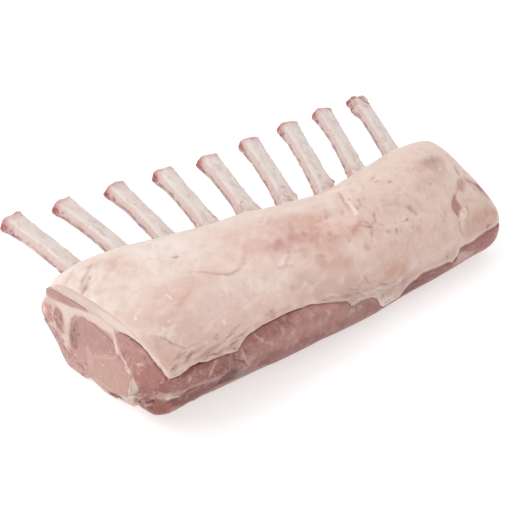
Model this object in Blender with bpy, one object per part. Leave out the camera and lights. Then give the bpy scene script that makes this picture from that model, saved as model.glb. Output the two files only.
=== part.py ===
"""Rack of lamb: a trimmed loin with its fat cover and nine frenched rib bones.

The meat is a loft of closed cross-sections along the spine. Each tissue that
shows at the cut ends is a loft of its own through the whole length, and the
fat fills what lies between them: the fat is the trimmed loin with a channel
cut for every muscle and every bone. The rack lies on its rib side, and the
bare bones reach out over its back edge.

Frame: +X along the spine, +Y towards the bone tips, +Z up, with the origin
under the middle of the rack, on the surface that it lies on.
"""

import bpy
import numpy as np

MM = 0.001

# ---- driving dimensions ----
RACK_LENGTH = 208 * MM
LEFT_CUT_SLANT = 0.20  # how far the left cut leans along the ribs, x per y
TISSUE_GAP = 0.35 * MM
LEAN_RECESS = 1.2 * MM  # the bare lean lies this far below the fat's lip
BONE_PROUD = 0.8 * MM  # the ribs stand this far below the meat's underside
CUTTER_REACH = 6 * MM  # how far a channel cutter runs past the end cuts

# Rounding of the two cut edges: how far in from the cut it starts, and how deep it goes.
LEFT_EDGE = (18 * MM, 1.0 * MM)
LEFT_SHOULDER_CHAMFER = 7.0 * MM
RIGHT_EDGE = (14 * MM, 4.0 * MM)

# The back edge swells over ribs 2 to 4 and narrows at rib 7 (place along, spread, depth).
BACK_SWELL = (0.22, 0.16, 4.2 * MM)
BACK_WAIST = (0.68, 0.09, -2.2 * MM)

# Facets: rings along the loin, points around it, and points and rings of a bone's bare part.
RINGS = 12
LOIN_POINTS = 26
BONE_POINTS = 8
BARE_RINGS = 4

# ---- cross-sections: (y, z) in millimetres, from the rib corner over the top ----
# The trimmed loin at its left cut, at mid-length and at its right cut.
LOIN_MARKS = MM * np.array(
    [
        [(75, 19.5), (70, 20), (85, 20)],  # rib corner
        [(77, 30), (70, 30), (85, 29)],  # back wall
        [(72, 42.5), (64, 40.5), (77, 38.5)],  # shoulder
        [(60, 50.5), (52, 46.5), (66, 46.5)],  # upper back
        [(41, 52.5), (38, 48.5), (51, 47)],  # crown
        [(22, 52), (23, 47), (37, 43)],  # front of the crown
        [(6, 49.5), (10, 43), (25, 38)],  # front shoulder
        [(-5, 44.5), (2, 36), (15, 32)],  # brow
        [(-13, 38), (-2, 28.5), (9, 25)],  # lip of the fat
        [(-9.5, 28), (-1.5, 18), (7, 17)],  # front wall
        [(-5, 17.5), (-0.5, 8.5), (8.5, 8.5)],  # foot of the front wall
        [(-1, 7.5), (5.5, 2.7), (15.5, 2.5)],  # front bottom edge
        [(13, 4.5), (15, 0.4), (24, 0)],  # under the front
        [(28, 0.3), (28, 0), (34, 0)],  # sole, front
        [(57, -1), (52, 0), (60, 0)],  # sole, back
        [(67, 8.5), (62, 9), (75, 8)],  # under the rib corner
    ]
)
CORNER, SHOULDER, LIP = 0, 2, 8  # their places in the table above
MID_NARROWING = 0.13  # the muscles are this much narrower at mid-length than their ends' mean
BACK_SPREAD = 1.3  # how many marks the swell and the waist of the back edge take

# Each muscle at the left cut and at the right cut.
EYE_MARKS = MM * np.array(
    [
        [(39, 38.5), (50, 34)],
        [(31, 37.3), (42, 33)],
        [(24, 36), (34.5, 31)],
        [(20.8, 31), (30.5, 26.5)],
        [(15.8, 28), (26.5, 23)],
        [(12.8, 24), (24, 19)],
        [(12.8, 17), (24, 13)],
        [(16, 11), (27, 9)],
        [(22, 7), (33, 6.5)],
        [(31, 5), (42, 5)],
        [(41, 5.2), (52, 5.2)],
        [(49, 8.5), (60, 8.5)],
        [(54, 15), (65, 14)],
        [(53, 24), (64, 22)],
        [(48, 32), (59, 29)],
    ]
)
SIDE_MARKS = MM * np.array(
    [
        [(21, 42), (33, 34)],
        [(15, 44.5), (28, 33.5)],
        [(5, 44), (20, 31)],
        [(-4, 40), (13, 27)],
        [(-12, 35.5), (9, 22)],
        [(-24, 31), (-4, 18)],
        [(-20, 6), (-3, 2)],
        [(-4, -4), (12, -6)],
        [(16, -3), (27, -5)],
        [(18, 3), (29, 2)],
        [(13, 10.5), (25, 7.5)],
        [(8, 17), (20, 12)],
        [(6.5, 21.5), (18, 16.5)],
        [(10, 26.5), (21.5, 21)],
        [(13, 30.5), (25, 25)],
        [(17.5, 33.5), (29, 27.5)],
        [(20.5, 38), (32.5, 31)],
    ]
)
SIDE_FRONT = slice(3, 9)  # the marks that face the front wall
CAP_MARKS = MM * np.array(
    [
        [(67, 36.5), (75, 32)],
        [(65.5, 40.5), (73, 35.5)],
        [(58, 42.3), (68, 39)],
        [(50, 42.8), (60, 40)],
        [(44, 43.2), (54, 40.3)],
        [(38, 42.3), (48, 39)],
        [(45, 40.3), (55, 37)],
        [(52, 38.2), (62, 35)],
        [(58, 37), (68, 33.5)],
        [(63, 34.8), (72, 31)],
    ]
)
RIB_SIDE_MARKS = MM * np.array(
    [
        [(72, 24.5), (78.5, 22.5)],
        [(69.5, 29), (77, 26.5)],
        [(66.5, 31), (75, 27.5)],
        [(64, 29.5), (73, 26.5)],
        [(61, 32.3), (71, 28.5)],
        [(57.8, 31.5), (68, 28.5)],
        [(57.5, 27), (68, 24.5)],
        [(57, 22.5), (67.5, 20.5)],
        [(60, 19.8), (70.5, 18.5)],
        [(65, 20.5), (75, 19)],
        [(69.5, 20.5), (77, 19)],
    ]
)
RIB_MEAT_MARKS = MM * np.array(
    [
        [(84, 14), (94, 12)],
        [(74, 17), (85, 16)],
        [(67, 17.3), (77, 16)],
        [(61, 16.3), (71.5, 15)],
        [(57, 11.5), (68, 10.5)],
        [(50.5, 5.2), (61.5, 5.2)],
        [(43, 2.9), (54, 2.9)],
        [(35, 2.6), (46, 2.6)],
        [(27, 2.9), (38, 2.9)],
        [(21, 0), (33, 0)],
        [(22, -8), (34, -8)],
        [(50, -10), (60, -10)],
        [(76, -8), (88, -8)],
    ]
)

# Where the lean is bare along the front wall: place of a change, and how bare it is from there on.
BARE_PLACES = RACK_LENGTH * np.array([0, 0.53, 0.59, 0.675, 0.705, 0.78, 0.81, 0.85, 0.875, 1])
BARE_SHARES = np.array([1, 1, 0, 0, 1, 1, 0, 0, 1, 1])
COVERED_DEPTH = 3.5 * MM  # fat over the side muscle where it isn't bare
# The fat's edge dips at the end of the flap and drops behind the long bare window.
LIP_DIP = (42 * MM, 8 * MM, 4.5 * MM)
LIP_DROP = (92 * MM, 120 * MM, 15 * MM)

# ---- ribs: where each one leaves the meat (x), and its tip (x, y), in millimetres ----
BONES = MM * np.array(
    [
        (10, -2.7, 131.5),
        (34.2, 23.5, 131),
        (56.2, 52, 129.5),
        (78.2, 80, 128.5),
        (101, 107, 127.5),
        (122.7, 135.5, 130),
        (146, 163, 132.7),
        (169.3, 188.3, 135),
        (196, 214.2, 136.5),
    ]
)
ROOT_Y = 72 * MM
BONE_TIP_Z = 34 * MM
# The hidden part of each rib, as (y, z): along the sole, round the rib corner and out.
BONE_COURSE = MM * np.array([(27, 2.8), (50, 2.9), (60, 9), (67, 17), (75, 25)])
BONE_ARCH = 2.0 * MM  # the bare part bows up by this much
INNER_LEAN = 0.5  # share of a bone's lean that its hidden part keeps
BONE_HALF_WIDTH = 5.7 * MM
BONE_HALF_HEIGHT = 3.3 * MM
TIP_FLARE = 1.4 * MM
ROOT_FLARE = 0.7 * MM
TIP_LENGTH = 22 * MM
SAW_CHAMFER = 0.9 * MM
SQUARENESS = 0.8  # 1 would be an ellipse, less is squarer

# Fourteen channels cross in the fat, and there EXACT leaves open edges.
FAT_SOLVER = "MANIFOLD"

COLORS = {
    "fat": (0.86, 0.70, 0.63),
    "loin_lean": (0.66, 0.42, 0.38),
    "side_lean": (0.58, 0.31, 0.28),
    "rib_lean": (0.60, 0.34, 0.32),
    "bone": (0.83, 0.75, 0.70),
}


def clear_scene():
    """Take away everything that a new file starts with."""
    for thing in list(bpy.data.objects):
        bpy.data.objects.remove(thing, do_unlink=True)


def material(name, roughness):
    """A Principled finish with the tissue's mean colour."""
    made = bpy.data.materials.new(name)
    made.use_nodes = True
    shader = made.node_tree.nodes["Principled BSDF"]
    shader.inputs["Base Color"].default_value = (*COLORS[name], 1.0)
    shader.inputs["Roughness"].default_value = roughness
    shader.inputs["Metallic"].default_value = 0.0
    return made


def closed_curve(marks, count):
    """Catmull-Rom curve through marks (n, 2), closed, as count points evenly spread between them."""
    place = np.arange(count) * len(marks) / count
    first = np.floor(place).astype(int)
    f = (place - first)[:, None]
    before, start, end, after = (np.roll(marks, 1 - k, axis=0)[first] for k in range(4))
    return 0.5 * (
        2 * start
        + (end - before) * f
        + (2 * before - 5 * start + 4 * end - after) * f**2
        + (3 * start - before - 3 * end + after) * f**3
    )


def between_ends(marks, t):
    """A two-station table read at t, from 0 at the left cut to 1 at the right cut."""
    narrowing = 1 - MID_NARROWING * 4 * t * (1 - t)
    return (marks[:, 0] * (1 - t) + marks[:, 1] * t) * (narrowing, 1)


def between_three(marks, t):
    """A three-station table read at t, along the parabola through its stations."""
    weights = ((1 - t) * (1 - 2 * t), 4 * t * (1 - t), t * (2 * t - 1))
    return sum(weight * marks[:, k] for k, weight in enumerate(weights))


def bell(value, centre, spread):
    return np.exp(-(((value - centre) / spread) ** 2))


def smooth_step(value, low, high):
    share = np.clip((value - low) / (high - low), 0, 1)
    return share * share * (3 - 2 * share)


def edge_rounding(distance, reach, depth):
    """Depth of a quarter-round edge at a distance from its cut."""
    share = np.clip(1 - distance / reach, 0, 1)
    return depth * (1 - np.sqrt(1 - share**2))


def outward(points):
    """Unit normals of a closed curve that runs from +Y over the top, pointing out of it."""
    along = np.roll(points, -1, axis=0) - np.roll(points, 1, axis=0)
    normal = np.column_stack([along[:, 1], -along[:, 0]])
    return normal / np.linalg.norm(normal, axis=1, keepdims=True)


def in_place(points, t):
    """Section points (y, z) set at their place along the loin, on the leaning left cut or its like."""
    x = t * RACK_LENGTH - LEFT_CUT_SLANT * (1 - t) * points[:, 0]
    return np.column_stack([x, points])


def loin_section(t, recess=0.0):
    """Outline of the trimmed loin at t, and the same with its front wall set back by recess."""
    points = closed_curve(between_three(LOIN_MARKS, t), LOIN_POINTS)
    mark = np.arange(LOIN_POINTS) * len(LOIN_MARKS) / LOIN_POINTS
    from_left, from_right = t * RACK_LENGTH, (1 - t) * RACK_LENGTH
    shoulder = 1 * MM + LEFT_SHOULDER_CHAMFER * bell(mark, SHOULDER, BACK_SPREAD)
    inset = edge_rounding(from_left, LEFT_EDGE[0], 1) * shoulder
    inset = inset + edge_rounding(from_right, *RIGHT_EDGE)
    for place, spread, depth in (BACK_SWELL, BACK_WAIST):
        inset = inset - depth * bell(t, place, spread) * bell(mark, SHOULDER, BACK_SPREAD)
    inset = inset + recess * smooth_step(mark, LIP - 2, LIP - 1) * (1 - smooth_step(mark, 12, 13))
    points = points - outward(points) * inset[:, None]
    points[:, 1] = np.maximum(points[:, 1], BONE_PROUD)
    return in_place(points, t)


def muscle_section(marks, count, t, grow=0.0):
    """Outline of a muscle at t in count points, grown on all sides."""
    points = closed_curve(marks, count)
    return in_place(points + grow * outward(points), t)


def side_marks(t):
    """The side muscle's marks: out through the front wall where it is bare, under the fat elsewhere."""
    marks = between_ends(SIDE_MARKS, t)
    x = t * RACK_LENGTH
    bare = np.interp(x, BARE_PLACES, BARE_SHARES)
    drop = LIP_DIP[2] * bell(x, *LIP_DIP[:2]) + LIP_DROP[2] * smooth_step(x, *LIP_DROP[:2])
    front = marks[SIDE_FRONT].copy()
    front[:3, 1] -= drop * np.array([0.3, 1, 1])
    wall = between_three(LOIN_MARKS, t)[LIP - 1 : LIP + 5]
    inward = np.array([[0.6, -1], [1, -0.6], [1, 0], [1, 0.3], [0.8, 1], [0.2, 1]])
    covered = wall + COVERED_DEPTH * inward
    marks[SIDE_FRONT] = bare * front + (1 - bare) * covered
    return marks


def loft(name, rings, collection, finish=None):
    """A closed solid through rings of points, (m, n, 3), with a flat face at each end."""
    count, around = rings.shape[:2]
    grid = np.arange(count * around).reshape(count, around)
    near, far = grid[:-1], grid[1:]
    near_next, far_next = np.roll(near, -1, 1), np.roll(far, -1, 1)
    sides = np.stack([near, near_next, far_next, near, far_next, far], axis=-1)
    faces = [*sides.reshape(-1, 3).tolist(), grid[0, ::-1].tolist(), grid[-1].tolist()]
    mesh = bpy.data.meshes.new(name)
    mesh.from_pydata(rings.reshape(-1, 3).tolist(), [], faces)
    mesh.update()
    made = bpy.data.objects.new(name, mesh)
    collection.objects.link(made)
    if finish:
        mesh.materials.append(finish)
        mesh.shade_smooth()
        mesh.set_sharp_from_angle(angle=np.radians(40))
    return made


def stations():
    """Places along the loin from 0 to 1, closer together at the rounded cuts."""
    even = np.linspace(0, 1, RINGS)
    return even - 0.35 * np.sin(2 * np.pi * even) / (2 * np.pi)


def past_the_cuts(rings):
    """Rings with one more at each end, moved along x so that a cutter clears the end cuts."""
    step = np.array([CUTTER_REACH, 0, 0])
    return np.concatenate([rings[:1] - step, rings, rings[-1:] + step])


def helper(thing):
    """Mark a cutter, which is not part of the rack."""
    thing.hide_render = True
    thing.display_type = "WIRE"
    return thing


def boolean(thing, other, operation, solver="EXACT"):
    modifier = thing.modifiers.new(f"{operation.lower()} {other.name}", "BOOLEAN")
    modifier.operation = operation
    modifier.solver = solver
    modifier.object = other


def bone_rings(root_x, tip_x, tip_y, grow=0.0):
    """Rings of one rib, from its sawn end under the loin to its bare tip."""
    corner_y = between_three(LOIN_MARKS, root_x / RACK_LENGTH)[CORNER, 0]
    course_y = BONE_COURSE[:, 0] * corner_y / LOIN_MARKS[CORNER, 0, 0]
    root_y, root_z = course_y[-1], BONE_COURSE[-1, 1]
    share = np.linspace(0, 1, BARE_RINGS)[1:]
    bare_z = root_z + (BONE_TIP_Z - root_z) * share + BONE_ARCH * 4 * share * (1 - share)
    y = np.concatenate([course_y, root_y + (tip_y - root_y) * share])
    z = np.concatenate([BONE_COURSE[:, 1], bare_z])
    lean = (tip_x - root_x) / (tip_y - ROOT_Y)
    x = root_x + lean * (y - ROOT_Y) * np.where(y < ROOT_Y, INNER_LEAN, 1)
    path = np.column_stack([x, y, z])
    along = np.gradient(path, axis=0)
    along /= np.linalg.norm(along, axis=1, keepdims=True)
    side = np.cross(along, (0, 0, 1))
    side /= np.linalg.norm(side, axis=1, keepdims=True)
    up = np.cross(side, along)
    flare = np.clip(1 - (tip_y - y) / TIP_LENGTH, 0, 1) ** 1.5
    half_width = BONE_HALF_WIDTH + TIP_FLARE * flare + ROOT_FLARE * bell(y, ROOT_Y + 8 * MM, 8 * MM)
    half_height = BONE_HALF_HEIGHT + 0.5 * TIP_FLARE * flare
    turn = np.arange(BONE_POINTS) * 2 * np.pi / BONE_POINTS + np.pi / BONE_POINTS
    across, height = (np.sign(f) * np.abs(f) ** SQUARENESS for f in (np.cos(turn), np.sin(turn)))
    wide = (half_width[:, None] + grow) * across
    high = (half_height[:, None] + grow) * height
    rings = path[:, None] + wide[..., None] * side[:, None] + high[..., None] * up[:, None]
    for end, inner in ((0, 1), (-1, -2)):
        outward_step = path[end] - path[inner]
        outward_step *= (SAW_CHAMFER + grow) / np.linalg.norm(outward_step)
        cap = path[end] + (rings[end] - path[end]) * 0.86 + outward_step
        rings = np.concatenate([cap[None], rings] if end == 0 else [rings, cap[None]])
    rings[..., 2] = np.maximum(rings[..., 2], 0.0 if grow == 0 else -CUTTER_REACH)
    if grow:
        sole = rings[..., 2] < BONE_PROUD + TISSUE_GAP
        rings[..., 2] = np.where(sole, rings[..., 2] - 2 * MM, rings[..., 2])
    return rings[:, ::-1]


def build():
    clear_scene()
    parts = bpy.data.collections.new("rack_of_lamb")
    cutters = bpy.data.collections.new("cutters")
    for collection in (parts, cutters):
        bpy.context.scene.collection.children.link(collection)
    finishes = {name: material(name, 0.5) for name in COLORS}
    places = stations()

    loin = np.array([loin_section(t) for t in places])
    trimmed = np.array([loin_section(t, LEAN_RECESS) for t in places])
    lean_body = helper(loft("lean_body", past_the_cuts(trimmed), cutters))

    # Each muscle's marks at t, its points around, and its finish.
    muscles = {
        "loin_eye": (lambda t: between_ends(EYE_MARKS, t), 13, "loin_lean"),
        "side_muscle": (side_marks, 14, "side_lean"),
        "cap_muscle": (lambda t: between_ends(CAP_MARKS, t), 9, "rib_lean"),
        "rib_side_muscle": (lambda t: between_ends(RIB_SIDE_MARKS, t), 9, "rib_lean"),
        "rib_meat": (lambda t: between_ends(RIB_MEAT_MARKS, t), 9, "rib_lean"),
    }
    fat = loft("fat_cover", loin, parts, finishes["fat"])
    solids = {}
    for name, (marks_at, count, finish) in muscles.items():
        rings = np.array([muscle_section(marks_at(t), count, t) for t in places])
        grown = np.array([muscle_section(marks_at(t), count, t, TISSUE_GAP) for t in places])
        solids[name] = loft(name, rings, parts, finishes[finish])
        channel = helper(loft(f"{name}_channel", past_the_cuts(grown), cutters))
        boolean(fat, channel, "DIFFERENCE", FAT_SOLVER)
    for name in ("side_muscle", "rib_meat"):
        boolean(solids[name], lean_body, "INTERSECT")

    bones = []
    for number, bone in enumerate(BONES, start=1):
        bones.append(loft(f"rib_bone_{number}", bone_rings(*bone), parts, finishes["bone"]))
        channel = helper(loft(f"rib_channel_{number}", bone_rings(*bone, TISSUE_GAP), cutters))
        boolean(fat, channel, "DIFFERENCE", FAT_SOLVER)
        for name in ("loin_eye", "rib_side_muscle", "rib_meat"):
            boolean(solids[name], channel, "DIFFERENCE")

    stand_on_origin(parts, [fat, *bones])


def stand_on_origin(collection, outer):
    """Carry everything on one empty, so that the box round the outer pieces stands centred on the origin."""
    corners = np.array([vertex.co for thing in outer for vertex in thing.data.vertices])
    low, high = corners.min(axis=0), corners.max(axis=0)
    base = bpy.data.objects.new("rack_base", None)
    collection.objects.link(base)
    base.location = (-(low[0] + high[0]) / 2, -(low[1] + high[1]) / 2, 0)
    for thing in list(bpy.data.objects):
        if thing is not base:
            thing.parent = base


build()
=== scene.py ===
# %% [markdown]
# # A raw rack of lamb
# The rack lies on its rib side. A pale fat cover wraps the loin, lean meat is bare at the
# two cuts and along the front, and nine scraped rib bones reach out behind.
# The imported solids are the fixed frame. Each of them gets a dense surface worked out with
# numpy, with a raw-meat finish from Blender's shader nodes.

import bpy
import numpy as np
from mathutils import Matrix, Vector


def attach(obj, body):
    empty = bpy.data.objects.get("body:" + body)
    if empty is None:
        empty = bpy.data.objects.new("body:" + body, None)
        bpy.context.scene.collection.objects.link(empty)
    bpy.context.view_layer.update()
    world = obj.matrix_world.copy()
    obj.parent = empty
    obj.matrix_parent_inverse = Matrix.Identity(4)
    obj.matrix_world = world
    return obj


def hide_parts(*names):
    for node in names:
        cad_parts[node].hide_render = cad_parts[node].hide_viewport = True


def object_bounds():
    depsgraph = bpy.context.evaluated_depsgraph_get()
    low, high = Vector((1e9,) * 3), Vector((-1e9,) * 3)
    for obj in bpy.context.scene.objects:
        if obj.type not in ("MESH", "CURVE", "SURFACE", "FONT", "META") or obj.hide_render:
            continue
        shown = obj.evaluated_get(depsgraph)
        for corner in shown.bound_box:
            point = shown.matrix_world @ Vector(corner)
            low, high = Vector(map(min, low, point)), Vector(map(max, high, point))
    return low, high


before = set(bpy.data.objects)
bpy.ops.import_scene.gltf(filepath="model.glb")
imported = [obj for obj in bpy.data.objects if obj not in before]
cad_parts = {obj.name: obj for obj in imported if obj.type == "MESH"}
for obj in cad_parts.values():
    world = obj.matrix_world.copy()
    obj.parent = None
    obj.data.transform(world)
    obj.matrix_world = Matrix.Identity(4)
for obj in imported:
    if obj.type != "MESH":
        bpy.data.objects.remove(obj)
cad_box = [list(corner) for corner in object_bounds()]
print("solids:", sorted(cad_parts))

# %% [markdown]
# ## Drawing frame
# The butcher's drawing is in millimetres, from the front bottom corner of the left cut:
# x along the spine, y towards the bone tips, z up. The solids' box says where that corner
# lies in the frame, so every surface is drawn there and moved once, as it becomes a mesh.

# %% Drawing frame and small tools
MM = 0.001
DRAWING_LOW = np.array([-14.797, -12.031, 0.0])  # the box's low corner in the drawing
DRAWING_SHIFT = np.array(cad_box[0]) / MM - DRAWING_LOW
print("drawing moved by", np.round(DRAWING_SHIFT, 3), "mm")


def linear(hex_color):
    """An sRGB hex colour as linear RGB."""
    value = int(hex_color.lstrip("#"), 16)
    srgb = np.array([value >> 16 & 255, value >> 8 & 255, value & 255]) / 255
    return np.where(srgb <= 0.04045, srgb / 12.92, ((srgb + 0.055) / 1.055) ** 2.4)


def mixed(color, other, share):
    """Blend colours (n, 3) towards other by share (n,)."""
    share = np.clip(share, 0, 1)[..., None]
    return color * (1 - share) + other * share


def bell(value, centre, spread):
    """A Gaussian bump of height 1."""
    return np.exp(-(((value - centre) / spread) ** 2))


def ramp(value, low, high):
    """Smooth step from 0 at low to 1 at high: 3s^2 - 2s^3."""
    share = np.clip((value - low) / (high - low), 0, 1)
    return share * share * (3 - 2 * share)


# %% [markdown]
# ## Unevenness
# Raw tissue is never even: it swells, dimples and blotches at every size at once. Value
# noise gives that from whole-numbered lattice points with fixed random numbers, so each run
# of the script makes the same rack. Blender's own noise textures do this in a material,
# but the large lumps have to be in the mesh, where the outline and the export keep them.

# %% Noise in space
def lattice_random(cells, seed):
    """A fixed random number from 0 to 1 for each whole-numbered lattice point."""
    mixed_bits = cells @ np.array([73856093, 19349663, 83492791]) + seed * 2654435761
    mixed_bits = (mixed_bits ^ (mixed_bits >> 13)) * 1274126177 & 0xFFFFFFFF
    mixed_bits = (mixed_bits ^ (mixed_bits >> 15)) * 2246822519 & 0xFFFFFFFF
    return ((mixed_bits ^ (mixed_bits >> 16)) & 0xFFFF) / 65535


def lumps(points, size, seed, stretch=(1, 1, 1)):
    """Value noise from -1 to 1: lattice randoms, `size` mm apart, blended by quintic weights."""
    place = points / (size * np.array(stretch, float)) + 1000.37
    cell = np.floor(place).astype(np.int64)
    f = place - cell
    f = f**3 * (f * (f * 6 - 15) + 10)
    total = np.zeros(points.shape[:-1])
    for corner in np.ndindex(2, 2, 2):
        weight = np.where(corner, f, 1 - f).prod(axis=-1)
        total += weight * lattice_random(cell + corner, seed)
    return 2 * total - 1


def layered(points, size, seed, octaves=3, stretch=(1, 1, 1)):
    """Noise summed over octaves, each half as big and half as strong as the one before."""
    layers = [lumps(points, size / 2**k, seed + k, stretch) / 2**k for k in range(octaves)]
    return sum(layers) / (2 - 0.5 ** (octaves - 1))


def wobbled(points, size, reach, seed):
    """Points pushed about by noise, so that what is drawn on them has unsteady edges."""
    return points + reach * np.stack([lumps(points, size, seed + k) for k in range(3)], axis=-1)


# %% [markdown]
# ## The trimmed loin's outline
# A loin is a bundle of long muscles in a coat of fat. Its outline changes slowly from cut
# to cut, so sixteen marks at three stations are enough: a parabola joins the stations and
# a closed Catmull-Rom curve joins the marks. The curve can be read at any mark, whole or
# fractional, so one function of place and mark gives the whole surface.

# %% Outline of the loin
RACK_LENGTH = 208.0
LEFT_CUT_SLANT = 0.20
LIP, SHOULDER, CORNER = 8, 2, 0

LOIN_MARKS = np.array(
    [
        [(75, 19.5), (70, 20), (85, 20)],  # rib corner
        [(77, 30), (70, 30), (85, 29)],  # back wall
        [(72, 42.5), (64, 40.5), (77, 38.5)],  # shoulder
        [(60, 50.5), (52, 46.5), (66, 46.5)],  # upper back
        [(41, 52.5), (38, 48.5), (51, 47)],  # crown
        [(22, 52), (23, 47), (37, 43)],  # front of the crown
        [(6, 49.5), (10, 43), (25, 38)],  # front shoulder
        [(-5, 44.5), (2, 36), (15, 32)],  # brow
        [(-13, 38), (-2, 28.5), (9, 25)],  # lip of the fat
        [(-9.5, 28), (-1.5, 18), (7, 17)],  # front wall
        [(-5, 17.5), (-0.5, 8.5), (8.5, 8.5)],  # foot of the front wall
        [(-1, 7.5), (5.5, 2.7), (15.5, 2.5)],  # front bottom edge
        [(13, 4.5), (15, 0.4), (24, 0)],  # under the front
        [(28, 0.3), (28, 0), (34, 0)],  # sole, front
        [(57, -1), (52, 0), (60, 0)],  # sole, back
        [(67, 8.5), (62, 9), (75, 8)],  # under the rib corner
    ],
    float,
)
# Where the finished skin lies below the outline: place x, its spread, mark, its spread, depth.
TRIMS = (
    (124, 16, 2.6, 0.9, 0.9), (60, 60, 2.6, 0.8, 0.4), (206, 12, 4.6, 1.5, 2.0), (92, 15, 2.5, 0.9, -1.9),
    (186, 12, 2.6, 0.9, -1.3), (26, 10, 2.5, 0.9, -0.9), (52, 8, 2.5, 0.9, 0.6),
    (0, 14, 11.3, 0.8, -1.0), (206, 8, 7.6, 0.9, -0.8), (0, 12, 1.6, 1.0, 1.4),
    (136, 13, 10.2, 1.0, 0.7), (165, 32, 10.0, 1.0, 1.7), (190, 16, 9.9, 0.9, 0.8), (80, 60, 10.2, 0.9, 0.6), (53, 4, 9.9, 0.6, 1.6),
    (25, 30, 10.4, 0.9, 0.6), (0, 13, -0.9, 0.9, 2.3), (0, 7, -2.58, 0.16, 4.0), (0, 8, -3.1, 0.3, 1.4),
)


def between_three(marks, t):
    """Marks at places t, (n, marks, 2), along the parabola through the three stations."""
    t = np.asarray(t, float)[..., None, None]
    weights = ((1 - t) * (1 - 2 * t), 4 * t * (1 - t), t * (2 * t - 1))
    return sum(weight * marks[:, k] for k, weight in enumerate(weights))


def on_curve(marks, mark):
    """Closed Catmull-Rom curves through marks (n, m, 2), each read at its own marks (n, k)."""
    count = marks.shape[1]
    first = np.floor(mark).astype(int)
    f = (mark - first)[..., None]
    before, start, end, after = (
        np.take_along_axis(marks, ((first + k) % count)[..., None], axis=1) for k in (-1, 0, 1, 2)
    )
    return 0.5 * (
        2 * start
        + (end - before) * f
        + (2 * before - 5 * start + 4 * end - after) * f**2
        + (3 * start - before - 3 * end + after) * f**3
    )


def edge_rounding(distance, reach, depth):
    """How deep a quarter-round edge lies at a distance from its cut."""
    share = np.clip(1 - distance / reach, 0, 1)
    return depth * (1 - np.sqrt(1 - share**2))


def loin_surface(t, mark, inset=0.0):
    """Points on the loin at places t (n,) and marks (n, k), moved in by inset along the normal."""
    marks = between_three(LOIN_MARKS, t)
    flat = on_curve(marks, mark)
    along = on_curve(marks, mark + 0.05) - on_curve(marks, mark - 0.05)
    normal = np.stack([along[..., 1], -along[..., 0]], axis=-1)
    normal /= np.linalg.norm(normal, axis=-1, keepdims=True)
    t = np.asarray(t)[:, None]
    around = np.mod(mark + 4, 16) - 4
    shoulder = 1.0 + 7.0 * bell(around, SHOULDER, 1.3)
    depth = edge_rounding(t * RACK_LENGTH, 18, 1) * shoulder
    depth = depth + edge_rounding((1 - t) * RACK_LENGTH, 14, 4)
    for place, spread, swell in ((0.22, 0.16, 4.2), (0.68, 0.09, -2.2)):
        depth = depth - swell * bell(t, place, spread) * bell(around, SHOULDER, 1.3)
    for x, x_spread, at, at_spread, trim in TRIMS:
        depth = depth + trim * bell(t * RACK_LENGTH, x, x_spread) * bell(around, at, at_spread)
    flat = flat - normal * (depth + inset)[..., None]
    flat[..., 1] = np.maximum(flat[..., 1], 0.8)
    x = t * RACK_LENGTH - LEFT_CUT_SLANT * (1 - t) * flat[..., 0]
    return np.concatenate([x[..., None], flat], axis=-1)


def on_loin(x, mark):
    """Points on the loin at drawing x and mark, both (n,). The slant is undone by repetition."""
    x = np.atleast_1d(np.asarray(x, float))
    mark = np.atleast_1d(np.asarray(mark, float))
    t = x / RACK_LENGTH
    for _ in range(4):
        y = loin_surface(t, mark[:, None])[:, 0, 1]
        t = (x + LEFT_CUT_SLANT * y) / (RACK_LENGTH + LEFT_CUT_SLANT * y)
        t = np.clip(t, 0, 1)
    return loin_surface(t, mark[:, None])[:, 0]


def on_left_cut(y, z):
    """Points on the leaning left cut at drawing y and z."""
    return np.stack([-LEFT_CUT_SLANT * np.asarray(y, float), np.asarray(y, float), np.asarray(z, float)], axis=-1)


# %% [markdown]
# ## From rings to a closed mesh
# Every tissue runs from cut to cut, so each one is a stack of rings. At a cut the rings
# shrink to a point, which gives the cut face a fine grid of its own to carry its grain.

# %% Rings to a mesh
def capped(rings, caps=(30, 30), doming=(0.0, 0.0), centres=(None, None), crowd=1.0):
    """Rows (n, k, 3) with a cut face at each end, and the two poles. A cut face's rows shrink towards
    its centre, which bulges by doming. A crowd over 1 moves its rows out towards the rim."""
    stack, poles = [], []
    for end, sign in ((0, -1), (-1, 1)):
        ring = rings[end]
        centre = ring.mean(axis=0) if centres[end] is None else np.array(centres[end], float)
        share = 1 - (1 - (np.arange(caps[end]) + 0.5) / caps[end]) ** crowd
        share = share if end == 0 else share[::-1]
        cap = centre + (ring - centre) * share[:, None, None]
        cap[..., 0] += sign * doming[end] * (1 - share[:, None] ** 4)
        poles.append(centre + np.array([sign * doming[end], 0, 0]))
        stack.append(cap)
    return np.concatenate([stack[0], rings, stack[1]]), np.array(poles)


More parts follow.
